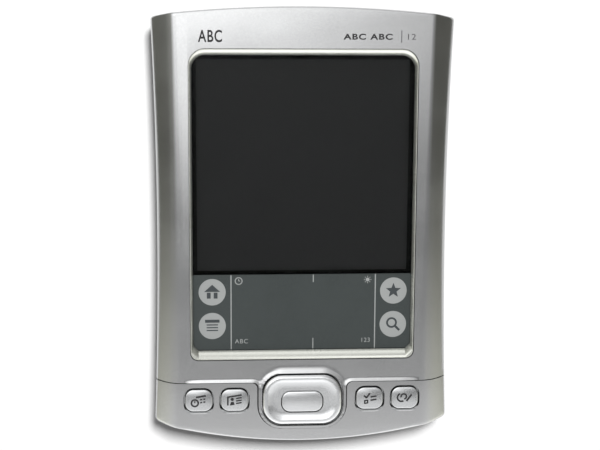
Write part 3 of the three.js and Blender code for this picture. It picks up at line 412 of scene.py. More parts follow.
def blend(tree, a, b, share):
    """Share of a, and the rest of b."""
    return add(tree, multiply(tree, a, share), multiply(tree, b, 1 - share))


def colour_mix(tree, factor, a, b, mode="MIX"):
    node = tree.nodes.new("ShaderNodeMix")
    node.data_type = "RGBA"
    node.blend_type = mode
    for socket, value in ((node.inputs["Factor"], factor), (node.inputs[6], a), (node.inputs[7], b)):
        supply(tree, socket, value)
    return node.outputs[2]


def shaded(tree, inn, shade, tint, amount):
    """The group's colour, multiplied by a tint where shade is low, as far as the amount input says."""
    colour = inn.outputs["Colour"]
    dark = colour_mix(tree, 1.0, colour, (*tint, 1), "MULTIPLY")
    return colour_mix(tree, inn.outputs[amount], colour, colour_mix(tree, shade, dark, colour))


def noise(tree, vector, scale, detail=3.0, roughness=0.5):
    node = tree.nodes.new("ShaderNodeTexNoise")
    for label, value in (("Scale", scale), ("Detail", detail), ("Roughness", roughness)):
        supply(tree, node.inputs[label], value)
    tree.links.new(vector, node.inputs["Vector"])
    return node.outputs["Fac"]


def cells(tree, vector, scale, low, high):
    """Round spots, 1 in the middle and 0 outside."""
    node = tree.nodes.new("ShaderNodeTexVoronoi")
    node.inputs["Scale"].default_value = scale
    tree.links.new(vector, node.inputs["Vector"])
    return value_map(tree, node.outputs["Distance"], low, high, 1.0, 0.0)


def make_metallic_paint():
    """Sprayed metallic paint: fine bright flakes over a slightly mottled coat."""
    inputs = [
        ("Vector", VECTOR, None),
        ("Colour", COLOR, (0.6, 0.6, 0.6, 1)),
        ("Fleck", FLOAT, 0.2),
        ("Roughness", FLOAT, 0.35),
    ]
    outputs = [("Colour", COLOR), ("Roughness", FLOAT), ("Height", FLOAT)]
    tree, inn, out = node_group("metallic_paint", inputs, outputs)
    place = inn.outputs["Vector"]
    mixed = blend(tree, noise(tree, place, 4200, 2.0, 0.6), cells(tree, place, 6500, 0.0, 0.5), 0.7)
    shade = value_map(tree, mixed, 0.3, 0.75, 0.0, 1.0)
    tree.links.new(shaded(tree, inn, shade, (0.72, 0.72, 0.73), "Fleck"), out.inputs["Colour"])
    wander = value_map(tree, noise(tree, place, 60, 3.0), 0.3, 0.7, -0.03, 0.03)
    sparkly = value_map(tree, noise(tree, place, 11000, 1.0), 0.3, 0.7, -0.05, 0.05)
    rough = add(tree, add(tree, inn.outputs["Roughness"], wander), sparkly)
    tree.links.new(rough, out.inputs["Roughness"])
    tree.links.new(mixed, out.inputs["Height"])
    return tree


def make_handling():
    """Where hands and pockets have rubbed: smears and fine scuffs, from 0 to 1."""
    inputs = [("Vector", VECTOR, None), ("Amount", FLOAT, 0.3)]
    tree, inn, out = node_group("handling", inputs, [("Mask", FLOAT)])
    place = inn.outputs["Vector"]
    smear = value_map(tree, noise(tree, place, 45, 5.0, 0.6), 0.48, 0.68, 0.0, 1.0)
    fine = value_map(tree, noise(tree, place, 900, 2.0), 0.45, 0.65, 0.0, 1.0)
    mask = multiply(tree, multiply(tree, smear, fine), inn.outputs["Amount"])
    tree.links.new(mask, out.inputs["Mask"])
    return tree


def make_moulding():
    """Moulded or rubbery skin: slight mottling, and a fine pebble for the bump."""
    inputs = [
        ("Vector", VECTOR, None),
        ("Colour", COLOR, (0.1, 0.1, 0.1, 1)),
        ("Mottle", FLOAT, 0.2),
        ("Scale", FLOAT, 1500),
    ]
    tree, inn, out = node_group("moulding", inputs, [("Colour", COLOR), ("Height", FLOAT)])
    pebble = noise(tree, inn.outputs["Vector"], inn.outputs["Scale"], 3.0)
    broad = noise(tree, inn.outputs["Vector"], 80, 4.0)
    shade = value_map(tree, blend(tree, pebble, broad, 0.5), 0.35, 0.65, 0.0, 1.0)
    tree.links.new(shaded(tree, inn, shade, (0.55, 0.55, 0.55), "Mottle"), out.inputs["Colour"])
    tree.links.new(pebble, out.inputs["Height"])
    return tree


def make_brushing():
    """Metal drawn or brushed along one axis: long fine lines."""
    inputs = [("Vector", VECTOR, None), ("Colour", COLOR, (0.5, 0.5, 0.5, 1)), ("Depth", FLOAT, 0.3)]
    outputs = [("Colour", COLOR), ("Roughness", FLOAT), ("Height", FLOAT)]
    tree, inn, out = node_group("brushing", inputs, outputs)
    lines = noise(tree, inn.outputs["Vector"], 2500, 3.0, 0.65)
    patch = noise(tree, inn.outputs["Vector"], 200, 2.0)
    both = blend(tree, lines, patch, 0.75)
    shade = value_map(tree, both, 0.3, 0.7, 0.0, 1.0)
    tree.links.new(shaded(tree, inn, shade, (0.6, 0.6, 0.6), "Depth"), out.inputs["Colour"])
    tree.links.new(value_map(tree, both, 0.3, 0.7, 0.22, 0.42), out.inputs["Roughness"])
    tree.links.new(both, out.inputs["Height"])
    return tree


def make_circuit():
    """Solder mask with copper tracks, pads and rows of tiny parts showing through."""
    inputs = [
        ("Vector", VECTOR, None),
        ("Mask colour", COLOR, (0.02, 0.12, 0.04, 1)),
        ("Track colour", COLOR, (0.05, 0.25, 0.08, 1)),
    ]
    outputs = [("Colour", COLOR), ("Height", FLOAT), ("Pads", FLOAT)]
    tree, inn, out = node_group("circuit", inputs, outputs)
    track = tree.nodes.new("ShaderNodeTexBrick")
    track.inputs["Scale"].default_value = 260
    track.inputs["Mortar Size"].default_value = 0.045
    tree.links.new(inn.outputs["Vector"], track.inputs["Vector"])
    dot = cells(tree, inn.outputs["Vector"], 420, 0.12, 0.2)
    tracks = colour_mix(tree, track.outputs["Fac"], inn.outputs["Mask colour"], inn.outputs["Track colour"])
    tree.links.new(colour_mix(tree, dot, tracks, (0.55, 0.5, 0.4, 1)), out.inputs["Colour"])
    tree.links.new(arithmetic(tree, "MAXIMUM", track.outputs["Fac"], dot), out.inputs["Height"])
    tree.links.new(dot, out.inputs["Pads"])
    return tree


METALLIC_PAINT = make_metallic_paint()
HANDLING = make_handling()
MOULDING = make_moulding()
BRUSHING = make_brushing()
CIRCUIT = make_circuit()


class Finish:
    """One material: a Principled shader with its maps from the effect groups above."""

    def __init__(self, name, roughness=0.5, metallic=0.0, **settings):
        self.material = bpy.data.materials.new(name)
        self.material.use_nodes = True
        self.tree = self.material.node_tree
        self.shader = self.tree.nodes["Principled BSDF"]
        self.shader.inputs["Roughness"].default_value = roughness
        self.shader.inputs["Metallic"].default_value = metallic
        for socket, value in settings.items():
            self.shader.inputs[socket.replace("_", " ")].default_value = value
        self.place = self.tree.nodes.new("ShaderNodeTexCoord").outputs["Object"]

    def stretch(self, x, y, z):
        mapping = self.tree.nodes.new("ShaderNodeMapping")
        mapping.inputs["Scale"].default_value = (x, y, z)
        self.tree.links.new(self.place, mapping.inputs["Vector"])
        self.place = mapping.outputs["Vector"]
        return self

    def effect(self, group, **values):
        node = self.tree.nodes.new("ShaderNodeGroup")
        node.node_tree = group
        for label, value in values.items():
            node.inputs[label.replace("_", " ")].default_value = value
        self.tree.links.new(self.place, node.inputs["Vector"])
        return node

    def feed(self, source, socket):
        self.tree.links.new(source, self.shader.inputs[socket])

    def bump(self, height, strength, distance):
        node = self.tree.nodes.new("ShaderNodeBump")
        node.inputs["Strength"].default_value = strength
        node.inputs["Distance"].default_value = distance * MM
        self.tree.links.new(height, node.inputs["Height"])
        self.tree.links.new(node.outputs["Normal"], self.shader.inputs["Normal"])


def painted(name, colour, roughness, metallic, fleck, handled, coat, grain):
    made = Finish(name, roughness, metallic, Coat_Weight=coat, Coat_Roughness=0.12)
    paint = made.effect(METALLIC_PAINT, Colour=(*colour, 1), Fleck=fleck, Roughness=roughness)
    rubbed = made.effect(HANDLING, Amount=handled).outputs["Mask"]
    worn = (*[c * 0.8 for c in colour], 1)
    made.feed(colour_mix(made.tree, rubbed, paint.outputs["Colour"], worn), "Base Color")
    rough = add(made.tree, paint.outputs["Roughness"], multiply(made.tree, rubbed, 0.2))
    made.feed(rough, "Roughness")
    made.bump(paint.outputs["Height"], 0.25, grain)
    return made.material


def moulded(name, colour, roughness, mottle=0.3, scale=1500.0, pebble=0.02, **settings):
    made = Finish(name, roughness, **settings)
    skin = made.effect(MOULDING, Colour=(*colour, 1), Mottle=mottle, Scale=scale)
    rubbed = made.effect(HANDLING, Amount=0.5).outputs["Mask"]
    made.feed(skin.outputs["Colour"], "Base Color")
    rough = value_map(made.tree, rubbed, 0.0, 1.0, roughness, min(1.0, roughness + 0.25))
    made.feed(rough, "Roughness")
    made.bump(skin.outputs["Height"], 0.3, pebble)
    return made.material


def brushed(name, colour, depth, along=(1.0, 0.04, 1.0)):
    made = Finish(name, 0.3, 1.0).stretch(*along)
    metal = made.effect(BRUSHING, Colour=(*colour, 1), Depth=depth)
    made.feed(metal.outputs["Colour"], "Base Color")
    made.feed(metal.outputs["Roughness"], "Roughness")
    made.bump(metal.outputs["Height"], 0.3, 0.004)
    return made.material


def circuit_board(name):
    made = Finish(name, 0.4)
    board = made.effect(CIRCUIT)
    made.feed(board.outputs["Colour"], "Base Color")
    made.feed(value_map(made.tree, board.outputs["Pads"], 0.0, 1.0, 0.45, 0.25), "Roughness")
    made.feed(board.outputs["Pads"], "Metallic")
    made.bump(board.outputs["Height"], 0.4, 0.03)
    return made.material


def clear_panel(name):
    made = Finish(name, 0.04, Transmission_Weight=1.0, IOR=1.06)
    rubbed = made.effect(HANDLING, Amount=0.6).outputs["Mask"]
    made.feed(value_map(made.tree, rubbed, 0.0, 1.0, 0.03, 0.12), "Roughness")
    made.feed(colour_mix(made.tree, rubbed, (0.97, 0.99, 0.98, 1), (0.9, 0.92, 0.92, 1)), "Base Color")
    return made.material


silver = painted("silver_paint", (0.58, 0.585, 0.58), 0.19, 1.0, 0.6, 0.04, 0.0, 0.008)
silver_key = painted("silver_key_paint", (0.60, 0.61, 0.61), 0.26, 1.0, 0.3, 0.02, 0.0, 0.005)
# A lighter copy of the silver paint on the pad and select button: painted light, for the extra light their
# dish shows.
lit_silver_pad = painted("silver_pad_paint", (0.76, 0.77, 0.77), 0.24, 1.0, 0.3, 0.02, 0.0, 0.005)
bright_trim = painted("bright_trim", (0.70, 0.71, 0.65), 0.26, 0.75, 0.15, 0.05, 0.2, 0.003)
input_print = painted("input_print", (0.075, 0.088, 0.086), 0.3, 0.55, 0.4, 0.1, 0.1, 0.004)
display_glass = moulded(
    "display_glass", (0.0245, 0.0245, 0.025), 0.30, 0.1, 4000.0, 0.001, Specular_IOR_Level=0.05
)
display_border = moulded(
    "display_border", (0.004, 0.004, 0.004), 0.35, 0.2, 3000.0, 0.001, Specular_IOR_Level=0.06
)
clear = clear_panel("touch_panel_clear")
pale_ink = moulded("pale_ink", (0.40, 0.415, 0.41), 0.45, 0.15, 3000.0, 0.002)
grey_ink = moulded("grey_ink", (0.09, 0.09, 0.095), 0.5, 0.2, 3000.0, 0.002)
dim_ink = moulded("dim_ink", (0.045, 0.055, 0.06), 0.5, 0.2, 3000.0, 0.002)
black_ink = moulded("black_ink", (0.012, 0.012, 0.013), 0.5, 0.2, 3000.0, 0.002)
# Black plastic for real parts, and also the painted shade on the walls of the gaps in the casing.
black_plastic = moulded("black_plastic", (0.014, 0.014, 0.015), 0.5)
grey_plastic = moulded("grey_plastic", (0.11, 0.11, 0.115), 0.55)
dark_red = moulded("dark_red_plastic", (0.035, 0.004, 0.005), 0.12, 0.15, 2500.0, 0.001)
white_plastic = moulded("white_plastic", (0.75, 0.75, 0.71), 0.45)
rubber = moulded("key_rubber", (0.045, 0.046, 0.05), 0.85, 0.4, 2200.0, 0.03)
foam = moulded("gasket_foam", (0.018, 0.018, 0.018), 0.95, 0.6, 4500.0, 0.06)
amber_film = moulded("amber_film", (0.42, 0.15, 0.02), 0.28, 0.3, 700.0, 0.004)
cell_wrap = moulded("cell_wrap", (0.36, 0.38, 0.40), 0.4, 0.35, 500.0, 0.02)
red_wire = moulded("red_wire", (0.40, 0.02, 0.012), 0.4)
label_film = moulded("label_film", (0.62, 0.62, 0.60), 0.5, 0.2, 1200.0, 0.004)
steel = brushed("plated_steel", (0.56, 0.56, 0.57), 0.5)
screw_steel = brushed("screw_steel", (0.36, 0.36, 0.37), 0.5, (1.0, 1.0, 1.0))
stylus_metal = brushed("stylus_metal", (0.62, 0.62, 0.64), 0.4)
gold = brushed("gold_contact", (0.78, 0.55, 0.2), 0.3)
board_green = circuit_board("circuit_board")

# ---------------------------------------------------------------- casing shells

FLANK_SHARES = (0.0, 0.015, 0.03, 0.045, 0.065, 0.09, 0.3, 0.5, 0.7, 0.8)
screw_places = [
    (side * x, y) for x, y in ((26.8, TOP_END - 7.1), (33.0, BOTTOM_END + 10.9)) for side in (-1, 1)
]
RESET_X, RESET_Y = -8, TOP_END - 47
SPEAKER_X, SPEAKER_Y = 21.0, TOP_END - 27
HOLE_CIRCLE = 2.47
PAD_HOLE_WIDTH, PAD_HOLE_HEIGHT = PAD_WIDTH + 2 * CLEAR, PAD_HEIGHT + 2 * CLEAR
PAD_HOLE_RADIUS = PAD_RADIUS + CLEAR
RELIEF_HEAD, RELIEF_FOOT, RELIEF_HALF = -35.0, -54.0, 34.0
STYLUS_X, STYLUS_Z = 33.0, 5.3
SILO_RADIUS = 2.75


def front_form(face, crease=0.08):
    """The front shell's outer form. crease is the rounding's half width as a share of the flank."""
    steps = [1 - crease + 2 * crease * k / 10 for k in range(11)]
    shares = [s for s in FLANK_SHARES if s < 1 - 1.2 * crease] + steps
    levels = [flank_level(s, face, crease=crease) for s in shares]
    return loft([wall_level(PARTING), wall_level(EDGE_HEIGHT)] + levels)


def front_hollow(face):
    under = face - SKIN
    levels = [wall_level(PARTING - 1, inset=SKIN), wall_level(EDGE_HEIGHT - 1, inset=SKIN)]
    levels.append(flank_level(0.5, face, SKIN * 0.9, SKIN * 0.75))
    levels.append((under, flank_level(0.97, face, SKIN * 0.9)[1]))
    return loft(levels)


def rect_distance(x, y, width, height, radius):
    """How far a point lies outside a rounded rectangle round the pad."""
    dx = abs(x) - (width / 2 - radius)
    dy = abs(y - KEY_ROW) - (height / 2 - radius)
    outside = math.hypot(max(dx, 0.0), max(dy, 0.0))
    return outside + min(max(dx, dy), 0.0) - radius


def smooth(t):
    t = min(1.0, max(0.0, t))
    return t * t * (3 - 2 * t)


def seam_distance(x, y):
    """How far a point of the upper casing lies from the seam over the chin and round the pad."""
    half, fillet = PAD_WIDTH / 2 + CLEAR + PAD_RIM, 1.5
    if abs(x) > half + fillet:
        return y - SEAM_Y
    if y > SEAM_Y - fillet:
        return math.hypot(abs(x) - half - fillet, y - SEAM_Y + fillet) - fillet
    return -rect_distance(x, y, 2 * half, PAD_HEIGHT + 2 * (CLEAR + PAD_RIM), PAD_RADIUS + CLEAR + PAD_RIM)


def swell(x, y):
    """Relief of the upper casing's face: a bead along the seam, a hood over the pad and the pad's rim."""
    rise = TOP - FACE
    past_pad = max(0.0, rect_distance(x, y, PAD_HOLE_WIDTH, PAD_HOLE_HEIGHT, PAD_HOLE_RADIUS))
    above = smooth((y - KEY_ROW - 4.0) / 3.0) * (1 - 0.8 * smooth((abs(x) - 5.0) / 6.0))
    hood = rise * 0.9 * max(0.0, 1 - past_pad / 2.3) ** 2 * above
    rim = rise * 0.7 * smooth(1.5 - past_pad / PAD_RIM) if past_pad < 1.2 else 0.0
    away = seam_distance(x, y)
    inward = 1 - smooth((abs(x) - 26.5) / 6.5)
    bead = 0.24 * max(0.0, 1 - max(away, 0.0) / 0.75) * inward
    return max(hood, rim, bead)


def cut_across(bm, geom, axis, place):
    """Cuts geom where it crosses a place on one axis, 0 for x and 1 for y."""
    point = [place * MM * (k == axis) for k in range(3)]
    normal = [k == axis for k in range(3)]
    bmesh.ops.bisect_plane(bm, geom=geom, dist=1e-7, plane_co=point, plane_no=normal)


def cut_relief(bm, axis, start, stop, step):
    """Cuts the lower part of the face across one axis at even steps."""
    place = start
    while place <= stop:
        near = [f for f in bm.faces if f.normal.z > 0.9 and min(v.co.y for v in f.verts) < RELIEF_HEAD * MM]
        geom = near + list({e for f in near for e in f.edges}) + list({v for f in near for v in f.verts})
        cut_across(bm, geom, axis, place)
        place += step


def raise_relief(piece):
    """Slices the lower part of the face into a fine grid and lifts it."""
    bm = bmesh.new()
    bm.from_mesh(piece.data)
    cut_relief(bm, 0, -RELIEF_HALF, RELIEF_HALF + 0.01, 0.6)
    cut_relief(bm, 1, RELIEF_FOOT, RELIEF_HEAD - 0.4, 0.25)
    for v in bm.verts:
        if v.co.z > (FACE - 0.001) * MM and v.co.y < RELIEF_HEAD * MM:
            v.co.z += swell(v.co.x / MM, v.co.y / MM) * MM
    bm.to_mesh(piece.data)
    bm.free()
    return piece


def silo_cut():
    return rod(STYLUS_X, STYLUS_Z, TOP_END - 15, TOP_END + 5, SILO_RADIUS + 0.15)


def make_upper_casing():
    piece = solid_object("upper_casing", front_form(FACE))
    window = prism(frame_rect(WINDOW_HALF, WINDOW_TOP, WINDOW_FOOT, WINDOW_RADIUS, WINDOW_FOOT_RADIUS), 9, 17)
    width, height = PAD_HOLE_WIDTH + 0.15, PAD_HOLE_HEIGHT + 0.15
    pad_hole = prism(rounded_rect(0, KEY_ROW + 0.05, width, height, PAD_HOLE_RADIUS, steps=14), 9, 17)
    carve(piece, front_hollow(FACE), prism(chin_outline(0), 4, 17), window, pad_hole, silo_cut())
    raise_relief(piece)
    dress(piece, silver, black_plastic)
    # The walls of the pad hole, window and seam get the black second slot: painted shade that makes these
    # gaps read dark.
    seam_bounds = (-32.5, 32.5, SEAM_Y - 0.7, SEAM_Y + 0.2)
    window_bounds = (-WINDOW_HALF - 0.2, WINDOW_HALF + 0.2, WINDOW_FOOT - 0.2, WINDOW_TOP + 0.2)
    paint_gap_shade(piece, [(-11.2, 11.2, KEY_ROW - 2.0, KEY_ROW + 7.6), window_bounds, seam_bounds])
    return settle(soften_edges(piece, 0.08), "casing", "front_housing")


def crown_chin(piece):
    """The chin's face falls a little towards the bottom end."""
    bm = bmesh.new()
    bm.from_mesh(piece.data)
    y = BOTTOM_END + 1
    while y < SEAM_Y:
        cut_across(bm, bm.verts[:] + bm.edges[:] + bm.faces[:], 1, y)
        y += 1.5
    for v in bm.verts:
        if v.co.z > EDGE_HEIGHT * MM:
            reach = max(0.0, (SEAM_Y - v.co.y / MM) / (SEAM_Y - BOTTOM_END))
            up = (v.co.z / MM - EDGE_HEIGHT) / (CHIN_FACE - EDGE_HEIGHT)
            v.co.z -= 0.42 * reach**1.6 * up * MM
    bm.to_mesh(piece.data)
    bm.free()
    return piece


def make_chin():
    piece = solid_object("chin_shell", front_form(CHIN_FACE, 0.16))
    work(piece, prism(chin_outline(SEAM), 4, 17), "INTERSECT")
    carve(piece, front_hollow(CHIN_FACE))
    for x in KEY_XS.values():
        width, height, radius = KEY_WIDTH + 2 * CLEAR + 0.1, KEY_HEIGHT + 2 * CLEAR + 0.1, KEY_RADIUS + CLEAR
        hole = rounded_rect(x, KEY_ROW + 0.05, width, height, radius)
        lip = rounded_rect(x, KEY_ROW - 0.15, width + 0.15, height + 0.5, radius + 0.15)
        carve(piece, loft([(9, hole), (CHIN_FACE - 0.4, hole), (CHIN_FACE + 0.02, lip), (16, lip)]))
    crown_chin(piece)
    dress(piece, silver, black_plastic)
    # The walls of the key holes get the black second slot: painted shade that makes the gaps round the keys
    # read dark.
    paint_gap_shade(piece, [(x - 4.2, x + 4.2, KEY_ROW - 3.6, KEY_ROW + 3.8) for x in KEY_XS.values()])
    return settle(soften_edges(piece, 0.08), "casing", "chin_panel")


def make_back_cover():
    rolled = []
    for i in range(7):
        a = math.radians(15 * i)
        inward = 1 - math.sin(a)
        rolled.append(wall_level(BACK_ROLL * (1 - math.cos(a)), BACK_ROLL * inward, BACK_ROLL * 0.8 * inward))
    piece = solid_object("back_shell", loft(rolled + [wall_level(PARTING - SEAM)]))
    hollow = [
        wall_level(BACK_WALL, BACK_ROLL * 0.55, BACK_ROLL * 0.4, BACK_WALL),
        wall_level(BACK_ROLL + 0.4, inset=BACK_WALL),
        wall_level(PARTING + 1, inset=BACK_WALL),
    ]
    carve(piece, loft(hollow))
    weld(piece, *[post(x, y, BACK_WALL / 2, 2.8, 2.8) for x, y in screw_places])
    weld(piece, post(RESET_X, RESET_Y, BACK_WALL / 2, BACK_WALL + 2.2, 1.7))
    for x, y in screw_places:
        carve(piece, post(x, y, -1, 1.65, 2.2), post(x, y, -1, PARTING, 1.1))
    y0, y1 = TOP_END - 8, TOP_END + 5
    slots = [
        end_slot(-0.5, 5.0, 24.6, 2.7, 0.3, y0, y1),
        rod(-19.5, 4.0, y0, y1, 2.45),
        end_slot(-33.2, 5.0, 4.8, 2.6, 0.5, y0, y1),
        end_slot(18.5, 4.7, 7.2, 3.0, 1.2, y0, y1),
        rod(STYLUS_X, STYLUS_Z, y0 - 5, y1, SILO_RADIUS + 0.15),
        end_slot(0, 5.1, 24.4, 3.0, 0.7, BOTTOM_END - 5, BOTTOM_END + 8),
        box(-20.3, 20.3, -31.7, -11.1, -1, 0.25),
        post(RESET_X, RESET_Y, -1, 6, 0.9),
    ]
    carve(piece, *slots)
    holes = [(SPEAKER_X, SPEAKER_Y)]
    for i in range(6):
        a = math.radians(60 * i)
        holes.append((SPEAKER_X + HOLE_CIRCLE * math.cos(a), SPEAKER_Y + HOLE_CIRCLE * math.sin(a)))
    carve(piece, *[post(x, y, -1, 2.3, 0.65, 24) for x, y in holes])
    return settle(dress(soften_edges(piece, 0.1), silver), "casing", "back_cover")


make_upper_casing()
make_chin()
make_back_cover()

# ---------------------------------------------------------------- window trim and screen


def make_window_trim():
    gap = 0.15
    under = GLASS_TOP + 0.25
    radii = (WINDOW_RADIUS - gap, WINDOW_FOOT_RADIUS - gap)
    outer = (WINDOW_HALF - gap, WINDOW_TOP - gap, WINDOW_FOOT + gap, *radii)
    middle, height = (WINDOW_TOP + WINDOW_FOOT) / 2, WINDOW_TOP - WINDOW_FOOT
    flange = rounded_rect(0, middle, 2 * WINDOW_HALF + 2, height + 1.0, 2)
    piece = solid_object("bevel_trim", prism(frame_rect(*outer, 10, 10), under, FACE - gap))
    weld(piece, prism(flange, under, under + 0.25))
    lip = 0.2
    sight = (GLASS_HALF, GLASS_HEAD, GLASS_FOOT, WINDOW_RADIUS - 0.85, WINDOW_FOOT_RADIUS - 0.85)
    mouth = (outer[0] - lip, outer[1] - lip, outer[2] + lip, outer[3] - lip, outer[4] - lip)
    crest = FACE - gap

    def ring(out):
        """The opening's outline, from the glass (0) out to the crest (1)."""
        return frame_rect(*[a + (b - a) * out for a, b in zip(sight, mouth)], 10, 1)

    opening = [(under - 1, ring(0)), (under, ring(0))]
    for k in range(1, 7):
        a = math.radians(15 * k)
        out = 0.55 * (1 - math.cos(a)) + 0.45 * k / 6
        up = 0.55 * math.sin(a) + 0.45 * k / 6
        opening.append((under + (crest - under) * up, ring(out)))
    opening[-1] = (crest + 0.001, ring(1))
    carve(piece, loft(opening + [(16, ring(1))]))
    return settle(dress(soften_edges(piece, 0.06, 2, 20), bright_trim), "casing", "window_trim")


def make_display():
    half = DISPLAY / 2 + 0.88
    bm = box(-half, half, DISPLAY_Y - half, DISPLAY_Y + half, 9.95, 11.25)
    top = max(bm.faces, key=lambda f: f.calc_center_median().z)
    for f in bm.faces:
        f.material_index = 1
    bmesh.ops.inset_region(bm, faces=[top], thickness=0.88 * MM)
    top.material_index = 0
    piece = solid_object("display_face", bm)
    return settle(dress(soften_edges(piece, 0.03), display_glass, display_border), "casing", "display_panel")


def make_border():
    """The black print on the underside of the touch panel, round the display."""
    outer = rounded_rect(0, (46.1 - 33.6) / 2, 59.4, 79.7, 1)
    piece = solid_object("screen_border", prism(outer, 11.36, 11.385))
    half = DISPLAY / 2
    carve(piece, prism(rounded_rect(0, DISPLAY_Y, 2 * half, 2 * half, 0.15), 11, 12))
    return settle(dress(piece, display_border), "casing")


make_window_trim()
make_display()
make_border()

# ---------------------------------------------------------------- printed marks

INK = 0.012
FILM_TOP = 12.625


def stroke_mark(bm, x0, y0, x1, y1, width, z):
    """A flat line with square ends."""
    length = math.hypot(x1 - x0, y1 - y0)
    angle = math.atan2(y1 - y0, x1 - x0)
    place = (
        Matrix.Translation(((x0 + x1) / 2 * MM, (y0 + y1) / 2 * MM, z * MM))
        @ Matrix.Rotation(angle, 4, "Z")
        @ Matrix.Diagonal((length * MM, width * MM, INK * MM, 1))
    )
    bmesh.ops.create_cube(bm, size=1.0, matrix=place)


def disc_mark(bm, x, y, radius, z, sides=40):
    cylinder(bm, Matrix.Translation((x * MM, y * MM, z * MM)), radius, INK, sides)


def ring_mark(bm, x, y, radius, width, z, start=0, end=360, steps=36):
    """A circle or part of one, spun from a small section."""
    inner, outer = radius - width / 2, radius + width / 2
    a = math.radians(start)
    section = [
        bm.verts.new(((x + r * math.cos(a)) * MM, (y + r * math.sin(a)) * MM, (z + h) * MM))
        for r, h in ((inner, -INK / 2), (outer, -INK / 2), (outer, INK / 2), (inner, INK / 2))
    ]
    edges = [bm.edges.new((section[i], section[(i + 1) % 4])) for i in range(4)]
    whole = end - start >= 360
    bmesh.ops.spin(
        bm,
        geom=section + edges,
        cent=(x * MM, y * MM, z * MM),
        axis=(0, 0, 1),
        angle=math.radians(end - start),
        steps=steps,
        use_merge=whole,
    )
    if not whole:
        bmesh.ops.holes_fill(bm, edges=[e for e in bm.edges if e.is_boundary], sides=4)


def shape_mark(bm, points, z):
    """A flat filled shape."""
    face = bm.faces.new([bm.verts.new((x * MM, y * MM, (z - INK / 2) * MM)) for x, y in points])
    raised = bmesh.ops.extrude_face_region(bm, geom=[face])["geom"]
    for v in [g for g in raised if isinstance(g, bmesh.types.BMVert)]:
        v.co.z += INK * MM


def finish_marks(name, bm, material, body):
    return settle(dress(solid_object(name, bm), material), body)


def lettering(name, words, x, y, height, z, material, body, spread=1.0, slim=1.0, heavy=0.0):
    """Plain lettering, made a mesh before it is put in place."""
    curve = bpy.data.curves.new(name, "FONT")
    curve.body = words
    curve.size = 1.0
    curve.extrude = 0.5
    curve.space_character = spread
    curve.offset = heavy
    text = bpy.data.objects.new(name + "_text", curve)
    bpy.context.scene.collection.objects.link(text)
    mesh = bpy.data.meshes.new_from_object(text.evaluated_get(bpy.context.evaluated_depsgraph_get()))
    bpy.data.objects.remove(text)
    tall = max(v.co.y for v in mesh.vertices)
    scale = height / tall
    size = Matrix.Diagonal((scale * slim * MM, scale * MM, INK * MM, 1))
    mesh.transform(Matrix.Translation((x * MM, y * MM, z * MM)) @ size)
    made = bpy.data.objects.new(name, mesh)
    mesh.name = name
    bpy.context.scene.collection.objects.link(made)
    return settle(dress(made, material), body)


def make_divider():
    bm = bmesh.new()
    stroke_mark(bm, 24.9, 48.3, 24.9, 51.4, 0.2, FACE + INK)
    finish_marks("divider_mark", bm, grey_ink, "casing")


AREA_HEAD, AREA_FOOT, AREA_HALF = -12.23, -32.45, 28.7
DISC_LEFT, DISC_RIGHT, DISC_UPPER, DISC_LOWER = -23.75, 24.15, -16.85, -25.95
AREA_INK = FILM_TOP + INK


def block_mark(bm, x0, y0, x1, y1, z):
    shape_mark(bm, [(x0, y0), (x1, y0), (x1, y1), (x0, y1)], z)


def area_lines(bm, z):
    for x in (-18.8, 19.3):
        stroke_mark(bm, x, AREA_HEAD - 0.1, x, AREA_FOOT + 0.1, 0.28, z)
    for y0, y1 in ((AREA_HEAD - 0.1, -14.35), (-29.5, AREA_FOOT + 0.1)):
        stroke_mark(bm, 2.85, y0, 2.85, y1, 0.24, z)


def area_discs(bm, z):
    """Four touch buttons, with a small clock and sun over the writing space."""
    for x in (DISC_LEFT, DISC_RIGHT):
        for y in (DISC_UPPER, DISC_LOWER):
            disc_mark(bm, x, y, 3.55, z, 56)
    x, y = -16.8, -13.9
    ring_mark(bm, x, y, 0.9, 0.25, z)
    stroke_mark(bm, x, y, x, -13.35, 0.2, z)
    stroke_mark(bm, x, y, -16.4, y, 0.2, z)
    x, y = 17.25, -13.8
    disc_mark(bm, x, y, 0.5, z, 24)
    for i in range(8):
        a = math.radians(45 * i)
        c, s = math.cos(a), math.sin(a)
        stroke_mark(bm, x + 0.68 * c, y + 0.68 * s, x + 1.0 * c, y + 1.0 * s, 0.18, z)


def area_icons(bm, z):
    """A house and a list on the left discs, a star and a lens on the right ones."""
    x, y = DISC_LEFT, DISC_UPPER
    shape_mark(bm, [(x - 2.1, y + 0.1), (x + 2.1, y + 0.1), (x, y + 2.0)], z)
    for wall in (-1.4, 0.4):
        block_mark(bm, x + wall, y - 1.7, x + wall + 1.0, y - 0.1, z)
    y = DISC_LOWER
    block_mark(bm, x - 1.9, y + 0.9, x + 1.9, y + 1.7, z)
    for k in range(3):
        row = y + 0.3 - 0.75 * k
        stroke_mark(bm, x - 1.5, row, x + 1.5, row, 0.3, z)
    x, y = DISC_RIGHT, DISC_UPPER
    star = []
    for i in range(10):
        r = 2.1 if i % 2 == 0 else 0.9
        a = math.radians(90 + 36 * i)
        star.append((x + r * math.cos(a), y + r * math.sin(a)))
    shape_mark(bm, star, z)
    y = DISC_LOWER
    ring_mark(bm, x - 0.35, y + 0.4, 1.2, 0.5, z)
    stroke_mark(bm, x + 0.5, y - 0.45, x + 1.75, y - 1.7, 0.6, z)


